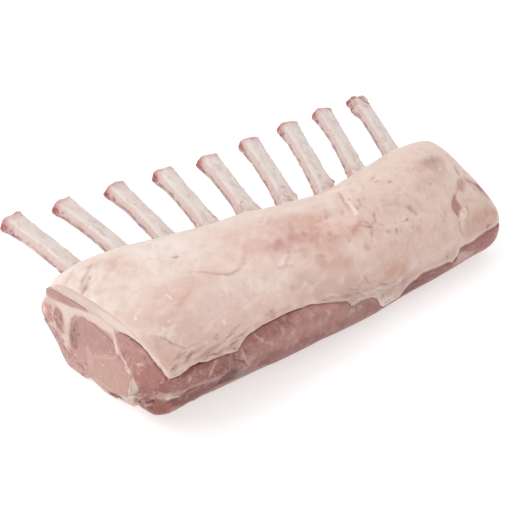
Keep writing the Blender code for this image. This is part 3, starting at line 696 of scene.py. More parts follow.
    ([(186.8, 6.5), (186, 6.8)], 0.6, -0.5, "#a47c6f", 0.85), ([(190, 6.3), (195, 6.5)], 0.9, -0.2, "#c9a698", 0.5),
    ([(179.4, 6.86), (177.8, 7.2), (177, 7.6), (178.6, 7.9)], 0.8, -0.5, "#bb9486", 0.7),
    ([(181, 7.0), (179.2, 7.3), (178.6, 7.6)], 1.0, 0.4, "#e6cdc1", 0.7), ([(196.2, 8.2), (196, 8.0), (198.6, 7.96)], 0.8, -0.5, "#8f5f5a", 0.8),
    ([(190.6, 4.2), (192, 4.0), (193.8, 3.9)], 0.7, -0.5, "#a98376", 0.8), ([(189, 4.62), (190.4, 4.66)], 0.9, 0.5, "#f3e2d9", 0.9),
    ([(179, 3.72), (180.8, 3.68)], 1.0, 0.4, "#f3e0d6", 0.8), ([(176, 4.94), (178, 4.98)], 0.8, -0.4, "#ad8c7f", 0.7),
    ([(203, 4.04), (203.6, 4.3)], 0.6, -0.4, "#a77f76", 0.7), ([(184.6, 3.9), (186, 4.6)], 0.8, -0.3, "#bb9a8d", 0.6),
    # bright flecks on the fat: small raised specks painted near white as highlights
    ([(20.2, 4.97), (20.5, 5.22)], 0.5, 0.3, "#fffaf5", 0.95), ([(3, 5.46), (3.5, 5.42)], 0.6, 0.3, "#fff6f0", 0.8),
    ([(9.4, 6.08), (11, 5.98)], 0.6, 0.4, "#f3ddd2", 0.8), ([(13, 5.94), (14.2, 5.84)], 0.6, 0.4, "#f6e4da", 0.8),
    ([(34, 6.7), (34.8, 6.5)], 0.8, 0.4, "#f5e4dc", 0.8), ([(36, 6.4), (38.6, 6.3)], 0.7, 0.3, "#ecd6cd", 0.6),
    ([(22.6, 7.2), (23.4, 7.1)], 0.7, 0.4, "#efdad0", 0.8), ([(16, 6.5), (16.2, 6.56)], 0.5, 0.3, "#fff2ea", 0.8),
    ([(-9, 4.3), (-7, 4.45)], 0.8, 0.4, "#fff6ee", 0.8), ([(46, 7.0), (50, 6.94)], 0.6, 0.3, "#e3c6bb", 0.6),
]
FAT_STROKES = [
    # faint wisps over the whole cover, and pits and tags where it was trimmed hardest
    ([(-8, 3), (100, 2.8), (100, 7), (6, 7.4)], 110, (-40, 14), 9, 1.0, -0.15, "#dbb7aa", 0.35),
    ([(-8, 3), (100, 2.8), (100, 7), (6, 7.4)], 70, (-40, 14), 9, 1.0, 0.1, "#fbefe8", 0.3),
    ([(100, 3), (200, 3), (204, 7.6), (100, 8)], 70, (-52, 16), 7, 0.9, -0.25, "#cba898", 0.35),
    ([(100, 3), (200, 3), (204, 7.6), (100, 8)], 110, (-52, 16), 6, 0.8, 0.2, "#f1dcd1", 0.4),
    ([(100, 5.2), (196, 5.2), (204, 8.2), (100, 8)], 34, (-70, 40), 2.6, 0.6, -0.35, "#b28c7e", 0.45),
    ([(100, 3.4), (200, 3.4), (200, 5.4), (100, 5.4)], 26, (-50, 40), 2.4, 0.6, -0.35, "#ba9485", 0.45),
    ([(10, 6.2), (100, 5.4), (100, 7.2), (12, 7.3)], 30, (-60, 40), 2.4, 0.6, -0.25, "#c8a294", 0.4),
    ([(4, 7.2), (36, 7.0), (46, 7.3), (36, 7.9), (4, 7.9)], 50, (-14, 8), 6, 0.6, -0.4, "#a67d70", 0.5),
    ([(4, 7.2), (36, 7.0), (46, 7.3), (36, 7.9), (4, 7.9)], 44, (-14, 8), 6, 0.55, 0.45, "#e2c6ba", 0.55),
    ([(84, 7.3), (140, 8.3), (136, 9.4), (122, 9), (104, 8.5)], 60, (24, 12), 6, 0.6, -0.3, "#a98a81", 0.5),
    ([(84, 7.3), (140, 8.3), (136, 9.4), (122, 9), (104, 8.5)], 50, (24, 12), 6, 0.6, 0.35, "#dcc8bf", 0.5),
    ([(76, 4), (120, 4), (120, 5.5), (78, 5.4)], 50, (-35, 20), 5, 0.9, -0.2, "#c7938a", 0.45),
]

# %% What shows on the left cut
# In (y, z) on the leaning cut face: areas (outline, soft edge, lift, colour, share), lines as on
# the fat, and bundles of short strokes. Lift is out of the face.
CUT_AREAS = [
    # the fat: grey under the skin, bright over the eye and down between it and the two lobes
    ([(67, 40.8), (58, 46.5), (45, 48.6), (28, 49.3), (26, 45), (40, 44), (52, 43), (62, 41.5)], 1.0, 0, "#dec4ba", 0.9),
    ([(30, 49), (10, 48.6), (-4, 43.8), (-12, 38), (-7, 38.4), (0, 43.3), (8, 45.4), (18, 45), (27, 44.5)],
     0.8, 0.2, "#e8d1c7", 0.9),
    ([(65, 34.5), (57, 36.3), (49, 38.8), (42, 41.6), (30, 43.6), (21, 43.5), (20, 41.5), (29, 39.3), (37, 38.6),
      (45, 36.5), (51, 31), (55, 24), (56, 16), (58, 12), (61, 13), (60, 19), (57, 24), (56.5, 30), (60, 33)],
     0.8, 0.1, "#e8cfc5", 0.95),
    # the thin strip of the cap muscle, slimmer to the right
    ([(68.5, 35.7), (67, 40), (61, 40.6), (53, 41.4), (45, 42.6), (38, 43), (41, 41.6), (46, 40), (52, 37.8), (59, 36.6)],
     0.6, -0.3, "#c09489", 0.95),
    # the eye: dusky above, tan below, with a dark red rim
    ([(43, 37), (33, 37.8), (23, 37.2), (20, 31.5), (15.5, 29), (12.6, 24), (13, 16), (16, 10.5), (24, 5), (36, 3.5),
      (44, 7), (51, 14), (53.5, 20), (51, 28)], 0.7, 0, "#c3938a", 0.9),
    ([(49, 32), (44, 36.3), (33, 37.4), (23.5, 36.8), (21, 31), (30, 27), (38, 21), (48, 21)], 3.0, 0, "#b88a80", 0.85),
    ([(46, 33), (50.5, 28.5), (53.2, 22), (53.8, 17), (51, 14.5), (48.4, 18), (47, 24)], 1.5, -0.2, "#a36e66", 0.95),
    ([(38.5, 18), (33, 22.5), (27, 25.5), (20, 28.5), (15, 26), (13.4, 20), (15, 13), (22, 7), (33, 3.5), (39, 6)],
     2.0, 0.15, "#c99d90", 0.9),
    ([(41.5, 23), (39.6, 24), (38.4, 17), (40.5, 10), (42, 15)], 1.2, 0.2, "#d2a59a", 0.8),
    ([(39, 5.5), (36, 3), (32, 1), (27, 2.4), (22, 5), (28, 6.5), (35, 7)], 1.0, 0, "#dab3a8", 0.8),
    # the side muscle: warm above, red towards the front, dusky in its torn lower end
    ([(21, 42.8), (12, 43.8), (4, 43.4), (0, 39), (6, 33), (17, 33), (20.4, 37)], 1.6, 0, "#b9857b", 0.9),
    ([(5, 35), (-3, 39.5), (-11, 36), (-9, 28), (-4, 21), (2, 21), (9, 24)], 2.0, 0, "#a66e64", 0.9),
    ([(9, 21.5), (2, 22), (-7, 23), (-10, 18), (-5, 12), (2, 8), (12, 5.5), (13, 9), (9.5, 15)], 1.2, 0, "#9f665f", 0.9),
    # white seams between the eye and the side muscle, and the wedge at their foot
    ([(24, 42.6), (20.6, 42.4), (19.7, 37), (19.4, 31.2), (21, 31), (21.9, 34), (21.8, 38.5)], 0.6, 0.4, "#eccfc5", 0.9),
    ([(15.9, 29.9), (13.6, 30), (12.1, 27), (11.9, 24.2), (13.5, 24), (15, 26.8)], 0.45, 0.4, "#f3d6cb", 0.95),
    ([(12.9, 21.3), (9, 21.8), (3.4, 21.6), (5.3, 18.8), (8.4, 15.6), (10.4, 12.2), (13.2, 10.8), (14.7, 13.2), (13.7, 17.5)],
     0.5, 0.4, "#dac5b9", 0.95),
    ([(14.7, 14.6), (12.9, 15), (12.5, 12.7), (13.9, 12.3)], 0.4, 0.2, "#f1dcd0", 0.9),
    ([(14.2, 12.6), (11.2, 12.4), (13.5, 9.3), (18, 6.3), (24, 4.6), (26.8, 5.2), (21.5, 7.4), (17, 9.8)],
     0.6, 0.2, "#d9bbb1", 0.9),
    ([(29.7, 2.2), (27.5, 4.3), (24, 5.7), (21.3, 5.8), (22.3, 4.2), (26, 2)], 0.5, -0.8, "#844c51", 0.95),
    # the rib side: fat round two rounded lobes of lean
    ([(76, 20), (73, 28), (67, 33), (60, 34.2), (56, 32), (55.5, 25), (57, 18.5), (66, 16), (73, 15.5)],
     1.0, 0, "#dfbfb3", 0.95),
    ([(60, 33), (57.4, 31.6), (56.9, 27), (57, 23), (58.6, 19.4), (62, 19.8), (63.6, 23.4), (63.2, 28.5)],
     1.0, 0.3, "#ad766c", 0.95),
    ([(71, 28), (68, 30.8), (65.4, 30.6), (64.4, 27), (64.6, 23), (67.6, 20.8), (72, 21.4), (73.4, 25)],
     0.8, 0.3, "#d09a8b", 0.95),
    # a lighter patch high on the outer lobe, painted as a highlight
    ([(71.3, 27.2), (68.6, 28.8), (67.6, 26), (70.2, 24.4)], 0.8, 0.2, "#efc5ba", 0.9),
    ([(67, 26.2), (65, 25.6), (65.2, 23), (67.4, 23)], 0.6, -0.3, "#b98479", 0.9),
    ([(72.4, 21.8), (69.4, 21.6), (68.8, 19.2), (71.4, 18.8)], 0.7, -0.4, "#a67a6e", 0.9),
    # rough membrane and meat along the bottom
    ([(71, 15.4), (67, 17.8), (63.5, 18.8), (60.4, 17), (58.6, 13), (61, 9.5), (66, 12)], 0.9, -0.2, "#cba0a0", 0.95),
    ([(59, 12), (54, 13.5), (49, 11.5), (47, 6), (48, -2), (62, -2), (63, 7)], 1.0, 0, "#cc9c94", 0.95),
    ([(49, 10), (42, 9), (40.3, 5), (43, 1.5), (49, 0)], 1.2, 0, "#c99f96", 0.9),
    ([(58.3, 13.6), (55.5, 14.2), (54.3, 11.4), (57, 10.6)], 0.6, 0.4, "#efc9bf", 0.9),
    ([(60.4, 5.4), (57.8, 5.6), (57.2, 2.4), (59.6, 2)], 0.6, 0.3, "#cdbdb0", 0.9),
    # the knife's edge over the front wall: white tag, orange fat, raw red
    ([(-7.4, 22), (-9, 22.2), (-13, 26.4), (-16, 30.5), (-13, 30), (-9.5, 26.6)], 0.5, 0.3, "#d5c4b0", 0.9),
    ([(-6, 15), (-8, 16.5), (-9.5, 20), (-8, 20.5), (-5.5, 17.5)], 0.7, 0, "#c4776c", 0.9),
]
CUT_LINES = [
    # the groove under the overhanging fat, dark with painted shade, and darker points of painted shade in it
    ([(17, 44.3), (12, 44.7), (6, 44.4), (1, 43), (-2.5, 40.4), (-6, 38), (-10, 36)], 0.75, -1.2, "#8c574c", 0.9),
    ([(14, 43.4), (8, 43.2), (2, 41.6)], 0.8, 0.3, "#c9968b", 0.7), ([(9.5, 44.2), (7, 44.3)], 0.7, -0.6, "#774538", 0.9),
    ([(-0.5, 41.8), (-2.5, 40)], 0.8, -0.6, "#6f4134", 0.9), ([(-8, 36.8), (-10.5, 35.8)], 0.7, -0.5, "#7a4a3f", 0.9),
    # the strip's dark upper edge
    ([(66.5, 40.4), (60, 40.9), (52, 41.9), (45, 42.9), (39.5, 43.2)], 0.55, -0.5, "#a67a6f", 0.85),
    ([(60, 38.6), (52, 40), (46, 41.3)], 0.6, -0.2, "#b98e84", 0.6),
    # thin seams that join the white ones
    ([(19.4, 32.5), (17.5, 30.6), (15.2, 29.4)], 0.7, 0.3, "#e2bfb4", 0.9), ([(13, 24.8), (12.2, 21)], 0.8, 0.3, "#e6c7bb", 0.9),
    ([(38.5, 18.5), (34, 21.5), (28, 24), (22, 28), (19.5, 30.5)], 0.8, 0.25, "#d9b0a5", 0.6),
    ([(39.5, 9), (39, 15), (36.5, 19)], 0.7, 0.2, "#dcb2a8", 0.6), ([(47, 35.4), (50, 32), (52, 27)], 0.5, -0.3, "#96645b", 0.7),
    ([(43, 37.6), (34, 38.4), (24, 37.9)], 0.5, -0.2, "#a67a70", 0.5),
    # marbling and small dark pits of the eye
    ([(26.6, 27), (27.8, 25.6)], 0.55, 0.3, "#e9c8bc", 0.8), ([(29.2, 19), (30.6, 18)], 0.6, 0.3, "#ecccbf", 0.9),
    ([(38, 21), (39, 19.6)], 0.55, 0.3, "#e6c4b9", 0.7), ([(32.5, 29), (33, 27.4)], 0.5, 0.2, "#dcb7ac", 0.6),
    ([(45.6, 27), (46.4, 25.6)], 0.7, -0.4, "#8f5c53", 0.8), ([(49.4, 27.4), (50, 26)], 0.7, -0.4, "#8a584f", 0.8),
    ([(42.2, 23.6), (42.6, 22.4)], 0.6, -0.3, "#a06e64", 0.7), ([(50, 17.6), (49.4, 16)], 0.7, -0.4, "#955f56", 0.7),
    ([(43.8, 11.6), (43, 10.4)], 0.6, -0.4, "#9b675e", 0.8), ([(52.4, 22), (52, 19)], 0.9, -0.3, "#8f5b53", 0.7),
    # flecks of the side muscle; the three bright ones near its upper front are painted highlights
    ([(5.6, 35.4), (2.8, 37.2)], 0.7, 0.5, "#ecc3b6", 0.9), ([(3.2, 36.2), (1.6, 38.4)], 0.6, 0.4, "#e6bbae", 0.8),
    ([(-3.5, 36.2), (-5, 37.2)], 0.6, 0.4, "#d9ad9f", 0.8), ([(15.4, 34.4), (14, 33.8)], 0.8, -0.3, "#a56f66", 0.7),
    ([(18, 33.4), (14.5, 32.8)], 0.7, 0.3, "#d9aea4", 0.7), ([(-6.4, 30), (-8.4, 28.4)], 1.0, -0.5, "#8a4f45", 0.8),
    ([(9, 27.8), (8.6, 26)], 0.8, -0.4, "#8f5a52", 0.7), ([(-8.6, 31), (-10.5, 32.6)], 0.8, 0.3, "#cf9a8c", 0.7),
    # gashes in its torn lower end
    ([(8.2, 17), (6, 19), (3.8, 20.4)], 0.6, -1.0, "#74443f", 0.95), ([(1.6, 16.6), (-2, 19.6)], 0.8, -0.9, "#7c4a44", 0.9),
    ([(-3.4, 16.6), (-7.6, 21)], 0.75, -0.8, "#7f4c45", 0.9), ([(7, 13), (3, 15.4)], 0.7, -0.7, "#824f49", 0.9),
    ([(3, 12.6), (-1.5, 15.4)], 0.7, -0.6, "#8a5650", 0.8), ([(5, 9.6), (0, 11.6)], 0.8, -0.5, "#86524d", 0.8),
    ([(4.6, 17.4), (1, 20.6)], 0.7, 0.4, "#cf9d93", 0.8), ([(-0.5, 17), (-5, 21.4)], 0.7, 0.4, "#cb968b", 0.8),
    ([(9, 14.6), (5.5, 17)], 0.6, 0.3, "#c9968c", 0.7), ([(4.6, 13.6), (0.5, 16.2)], 0.6, 0.4, "#d3a398", 0.8),
    ([(0.5, 12), (-3.5, 15)], 0.7, 0.4, "#cf9a90", 0.8), ([(10.5, 9.8), (4.5, 12)], 0.6, 0.3, "#bf8c83", 0.7),
    # torn fibres of the membrane and the rough bottom
    ([(66, 17.6), (62, 12.5)], 0.6, -0.4, "#a5767a", 0.7), ([(63.6, 18.4), (60, 14)], 0.6, 0.3, "#e6c2c0", 0.7),
    ([(54.5, 11.6), (51, 7.6)], 0.7, -0.5, "#95605b", 0.8), ([(57, 9), (53.5, 5.4)], 0.7, -0.5, "#9d6863", 0.8),
    ([(55.5, 6.6), (51.5, 2.6)], 0.6, 0.4, "#eac2b9", 0.7), ([(52.5, 12.6), (49, 9)], 0.6, 0.4, "#dfb5ab", 0.7),
    ([(73, 20), (71, 16.4), (67, 13), (63.6, 9.4), (61, 5)], 0.9, -0.3, "#ad7577", 0.8),
    ([(69.6, 29.6), (66.4, 28.2), (65.6, 24.4)], 0.5, -0.2, "#b17d70", 0.6), ([(61.4, 30), (59, 26), (60, 22)], 0.6, 0.2, "#c3938a", 0.6),
    ([(49.6, 6.6), (48.4, 5.4)], 0.7, -0.5, "#8d5a54", 0.8), ([(48, 2.4), (46.6, 1.8)], 0.8, -0.4, "#85504d", 0.8),
]
CUT_STROKES = [
    ([(20, 42), (4, 43), (-9, 35), (-4, 23), (6, 21), (11, 23), (16, 33)], 60, (108, 12), 5, 0.42, -0.25, "#935f56", 0.6),
    ([(20, 42), (4, 43), (-9, 35), (-4, 23), (6, 21), (11, 23), (16, 33)], 44, (108, 12), 4, 0.38, 0.25, "#d8a99e", 0.6),
    ([(10, 20), (-8, 21), (-8, 17), (-2, 11), (9, 8)], 20, (128, 12), 4, 0.42, -0.4, "#7a4842", 0.7),
    ([(10, 20), (-8, 21), (-8, 17), (-2, 11), (9, 8)], 18, (128, 12), 3, 0.38, 0.4, "#d7a89d", 0.7),
    ([(43, 36), (24, 36), (14, 24), (16, 11), (36, 5), (50, 14), (52, 24)], 70, (105, 14), 3.5, 0.4, 0, "#b78479", 0.4),
    ([(43, 36), (24, 36), (14, 24), (16, 11), (36, 5), (50, 14), (52, 24)], 60, (105, 16), 2.6, 0.35, 0.1, "#e0b9ae", 0.45),
    ([(60, 12), (49, 12), (42, 6), (49, 0), (60, 0)], 26, (128, 18), 3.4, 0.4, -0.4, "#9a6560", 0.7),
    ([(60, 12), (49, 12), (42, 6), (49, 0), (60, 0)], 22, (128, 18), 3, 0.38, 0.4, "#ecc5bc", 0.7),
    ([(70, 30), (57, 32), (57, 20), (70, 20)], 26, (110, 20), 2.4, 0.4, -0.2, "#a9756c", 0.5),
    ([(70, 30), (57, 32), (57, 20), (70, 20)], 20, (110, 20), 2.4, 0.4, 0.2, "#ecc7bc", 0.5),
    ([(71, 16), (63, 18), (58, 12), (62, 9)], 16, (128, 12), 3, 0.4, -0.3, "#a97e80", 0.6),
    ([(66, 44), (30, 48), (5, 47), (30, 45), (56, 43)], 26, (10, 10), 4, 0.4, 0.1, "#efdcd3", 0.5),
    ([(66, 39.6), (50, 41), (50, 38.6), (66, 36.6)], 22, (172, 8), 4, 0.35, -0.1, "#b1857b", 0.5),
    ([(75, 22), (66, 33), (44, 40), (52, 34), (58, 18), (70, 16)], 30, (115, 25), 2.6, 0.4, 0.1, "#f0ddd4", 0.5),
]

# %% What shows on the right cut
# In (y, z) on the straight cut face, as on the left one: the same muscles, further on.
RIGHT_AREAS = [
    ([(58, 31), (63, 25), (65, 15), (61, 9), (60.5, 18), (57, 27)], 1.5, -0.2, "#a8756c", 0.9),
    ([(30, 9), (45, 6.5), (56, 12), (46, 19), (30, 19), (25, 14)], 4, 0.1, "#cda195", 0.7),
    ([(36, 31.5), (48, 33.5), (57, 29), (48, 25), (36, 25)], 3, 0, "#b5867b", 0.7),
    ([(22, 12), (14, 8), (9, 16), (12, 24), (19, 21)], 2, 0, "#a86f66", 0.8),
    ([(24, 12.5), (22.4, 13), (22, 17), (24.5, 22), (26, 22)], 0.6, 0.3, "#ead0c6", 0.9),
]
RIGHT_LINES = [
    ([(47, 20), (50, 22.5), (54, 24)], 0.6, 0.2, "#e3beb3", 0.8), ([(35, 14), (39, 15.5)], 0.55, 0.2, "#e8c8bc", 0.8),
    ([(41, 25), (43, 27.6)], 0.5, 0.2, "#e0bbb0", 0.7), ([(30, 22), (33, 21)], 0.6, -0.3, "#96645b", 0.7),
    ([(54, 15), (55.4, 17.6)], 0.7, -0.3, "#8f5c53", 0.7), ([(14, 15), (17.5, 17)], 0.7, 0.3, "#d8aca1", 0.8),
    ([(12, 19), (16, 22.5)], 0.7, -0.4, "#85514a", 0.8), ([(73, 34.6), (64, 37.6), (52, 39.4)], 0.5, -0.3, "#a67a6f", 0.8),
    ([(72, 23), (74.6, 25)], 0.6, 0.3, "#e6bfb4", 0.8), ([(62, 9.6), (72, 13), (79, 17.4)], 0.7, -0.3, "#b58a81", 0.7),
]
RIGHT_STROKES = [
    ([(50, 33), (34, 30), (25, 20), (33, 7.5), (52, 6), (64, 14), (62, 24)], 80, (72, 14), 3.5, 0.4, 0, "#ae7a70", 0.45),
    ([(50, 33), (34, 30), (25, 20), (33, 7.5), (52, 6), (64, 14), (62, 24)], 70, (72, 16), 2.6, 0.35, 0.1, "#e0b9ae", 0.45),
    ([(29, 29), (20, 20), (22, 12), (13, 8), (9.5, 17), (13, 24)], 46, (68, 12), 4.5, 0.42, -0.25, "#8d5a52", 0.6),
    ([(29, 29), (20, 20), (22, 12), (13, 8), (9.5, 17), (13, 24)], 38, (68, 12), 3.5, 0.4, 0.25, "#d8a99e", 0.6),
    ([(74, 33), (60, 39.4), (49, 38.6), (58, 36), (68, 33)], 22, (165, 8), 4, 0.35, -0.1, "#a87b71", 0.5),
    ([(78, 23), (75, 27), (68, 28), (68, 21), (75, 19.4)], 24, (70, 20), 2.4, 0.4, 0.2, "#e3bab0", 0.5),
    ([(64, 40), (40, 42), (24, 36), (38, 37), (56, 41)], 26, (172, 12), 4, 0.4, 0.1, "#efdcd3", 0.5),
    ([(80, 18), (64, 12), (50, 4), (30, 3), (60, 3), (76, 9)], 40, (20, 20), 3, 0.4, 0.1, "#b8857c", 0.5),
]


# %% [markdown]
# Both cuts were made with one stroke of a long knife, so each is nearly flat. The muscles
# relax and bulge a little, and the seams between them stay back. One function gives that
# relief for every tissue, so that neighbours on the cut meet.

# %% Relief and paint of a cut
def cut_relief(y, z, side):
    """How far a cut face stands out: the eye's dome."""
    eye_y, eye_z = (33, 22) if side < 0 else (44, 20)
    dome = 0.4 * np.clip(1 - ((y - eye_y) / 24) ** 2 - ((z - eye_z) / 19) ** 2, 0, 1)
    return dome


def cut_paint(face, color):
    """Lift and colour of points (n, 3) on the left cut, after its areas, lines and strokes."""
    wavy = wobbled(wobbled(face, 5, 0.5, 91), 1.6, 0.22, 94)
    flat = wavy[:, 1:]
    broad, color = filled(flat, color, CUT_AREAS)
    wavy[:, 0] = -LEFT_CUT_SLANT * wavy[:, 1]
    fine, color = worked(wavy, color, CUT_LINES, on_left_cut)
    strokes, color = strewn(flat, color, CUT_STROKES, 97)
    return broad + fine + strokes, color


def right_paint(face, color):
    """The same for the right cut, which is straight across."""
    flat = wobbled(face, 5, 0.5, 191)[:, 1:]
    broad, color = filled(flat, color, RIGHT_AREAS)
    fine, color = worked(face, color, RIGHT_LINES, lambda y, z: np.stack([208 + 0 * y, y, z], axis=-1))
    strokes, color = strewn(flat, color, RIGHT_STROKES, 197)
    return broad + fine + strokes, color


def finish_cuts(rows, poles, caps, color):
    """Push the cap rows out by the cut's relief and paint both cuts. Returns the paint."""
    around = rows.shape[1]
    for side, count, pole, paint in ((-1, caps[0] + 1, 0, cut_paint), (1, caps[1] + 1, 1, right_paint)):
        cut = slice(0, count) if side < 0 else slice(len(rows) - count, len(rows))
        first = 0 if side < 0 else len(color) - 2 - count * around
        here = np.append(first + np.arange(count * around), len(color) - 2 + pole)
        face = np.concatenate([rows[cut].reshape(-1, 3), poles[pole : pole + 1]])
        lift = cut_relief(face[:, 1], face[:, 2], side) + 0.25 * layered(face, 5, 90, 3)
        painted, color[here] = paint(face, color[here])
        face[:, 0] += side * (lift + painted) * rim_share(face, side)
        rows[cut], poles[pole] = face[:-1].reshape(rows[cut].shape), face[-1]
    return color


def rim_share(face, side):
    """1 well inside a cut, falling to 0 over the last 3 mm to the loin's outline, which keeps its place."""
    outline = loin_surface([0.0 if side < 0 else 1.0], np.arange(64)[None] / 4, 1.5)[0, :, 1:]
    return inside(face[:, 1:], outline, 1.5)


# %% Skin of the fat cover
SHEET_DEPTH = 3.2
FAT_RINGS, SOLE_ROWS, BACK_ROWS, TOP_ROWS, CURL_ROWS, WALL_ROWS = 330, 14, 36, 142, 7, 18
FAT_CAPS = (66, 30)
FAT_CREAM, FAT_ROSE, FAT_CUT = linear("#efdace"), linear("#dfb9ac"), linear("#d9bab0")

places = crowded_places(FAT_RINGS, 0.2)
lip = lip_mark(places)[:, None]
marks = np.concatenate([
    spread(SOLE_ROWS, -4.0, -1.0) + 0 * lip,
    spread(BACK_ROWS, -1.0, 1.5) + 0 * lip,
    spread(TOP_ROWS, 1.5, lip),
    lip + 0.012 * np.arange(CURL_ROWS),
    spread(WALL_ROWS, lip + 0.1, 12.0),
], axis=1)
curl = np.concatenate([
    np.zeros(SOLE_ROWS + BACK_ROWS + TOP_ROWS),
    SHEET_DEPTH * np.sin(np.pi / 2 * np.arange(CURL_ROWS) / (CURL_ROWS - 1)) ** 1.5,
    np.full(WALL_ROWS, SHEET_DEPTH),
])[None]
to_lip = np.where(marks <= lip + 1e-6, (lip - marks) * 11, 0)
thin = feathered(places)[:, None]
thinning = (0.5 + 0.5 * thin) * np.exp(-to_lip / (0.7 + 1.5 * thin)) * (curl == 0) * (marks > 1.5)

skin = loin_surface(places, marks).reshape(-1, 3)
rightness = ramp(skin[:, 0], 60, 160)
broad = 0.6 * lumps(skin, 24, 11) + 0.35 * layered(skin, 9, 21, 2)
small = layered(skin, 4.5, 25, 3)
dents = ramp(layered(skin, 6.5, 28, 2), 0.22, 0.75)
tissue = mixed(np.broadcast_to(FAT_CREAM, skin.shape), FAT_ROSE, 0.25 + 0.35 * layered(skin, 20, 5, 3))
tone_lift, tissue = worked(wobbled(skin, 9, 2.5, 33), tissue, FAT_TONES, on_loin)
wavy = wobbled(wobbled(skin, 4, 0.6, 36), 1.8, 0.35, 39)
drift = (wavy - skin)[:, [0, 2]] * (1, -1)
flat = np.column_stack([skin[:, 0], marks.ravel() * 14]) + drift
area_lift, tissue = filled(flat, tissue, FAT_AREAS, 14)
line_lift, tissue = worked(wavy, tissue, FAT_LINES, on_loin)
stroke_lift, tissue = strewn(flat, tissue, FAT_STROKES, 61, 14)
quiet = (ramp(marks, 0.5, 2.0) * (1 - ramp(marks, 10, 11.5))).ravel()
relief = (broad + (0.12 + 0.1 * rightness) * small - (0.15 + 0.3 * rightness) * dents
          + tone_lift + area_lift + line_lift + stroke_lift) * quiet
inset = curl + thinning + 0.45 - 0.6 * relief.reshape(marks.shape)
inset = inset + cut_corner(places, marks) * (marks > lip + 0.03) + 1.6 * bell(marks, -2.4, 1.0)
fat_rings = loin_surface(places, marks, inset)

# Painted shade and highlight: the fat is darkened to pinkish grey in its dents and hollows, and painted lighter on its
# small bumps.
hollow_shade = np.clip(-0.5 * small + 0.7 * dents * (0.4 + 0.6 * rightness) - 0.25 * broad, 0, 1)
tissue = mixed(tissue, linear("#c9a092"), 0.4 * hollow_shade)
tissue = mixed(tissue, linear("#f7e9e1"), 0.35 * np.clip(small, 0, 1) * (1 - 0.5 * rightness))
# Painted highlight: a lighter band along the fat's free edge.
edge = (np.exp(-to_lip / 1.2) * (marks > 5)).ravel()
tissue = mixed(tissue, linear("#e2c6bb"), 0.5 * edge)
# Painted shade: the fat curled in under its free edge and the thin fat behind the bare lean are darkened.
under = (curl + 0 * lip > 0).ravel()
tissue = mixed(tissue, linear("#b98d82"), 0.7 * under)

fat_points, fat_poles = capped(fat_rings, FAT_CAPS, centres=((-5.2, 26, 24), (208, 46, 20)), crowd=1.3)
around = fat_points.shape[1]
cut_tint = lambda face: mixed(np.broadcast_to(FAT_CUT, face.shape), FAT_ROSE, 0.3 + 0.5 * layered(face, 6, 7))
fat_color = np.concatenate([
    cut_tint(fat_points[: FAT_CAPS[0]].reshape(-1, 3)), tissue,
    cut_tint(fat_points[-FAT_CAPS[1] :].reshape(-1, 3)), cut_tint(fat_poles)])
fat_color = finish_cuts(fat_points, fat_poles, FAT_CAPS, fat_color)
dressed("fat_cover_skin", fat_points, fat_poles, fat_color, fat_finish, ["fat_cover"])

# %% [markdown]
# ## The side muscle
# The muscle in front of the eye is bare along the front, where the butcher cut the fat away in
# two windows. Its front is seen from the side, its end on the cut, and the rest is hidden. It is
# one closed skin: a finely divided face along the front wall, and coarse rows through the inside.
# Its window shows fibres, veins of fat and torn ends, drawn as the fat's marks are.

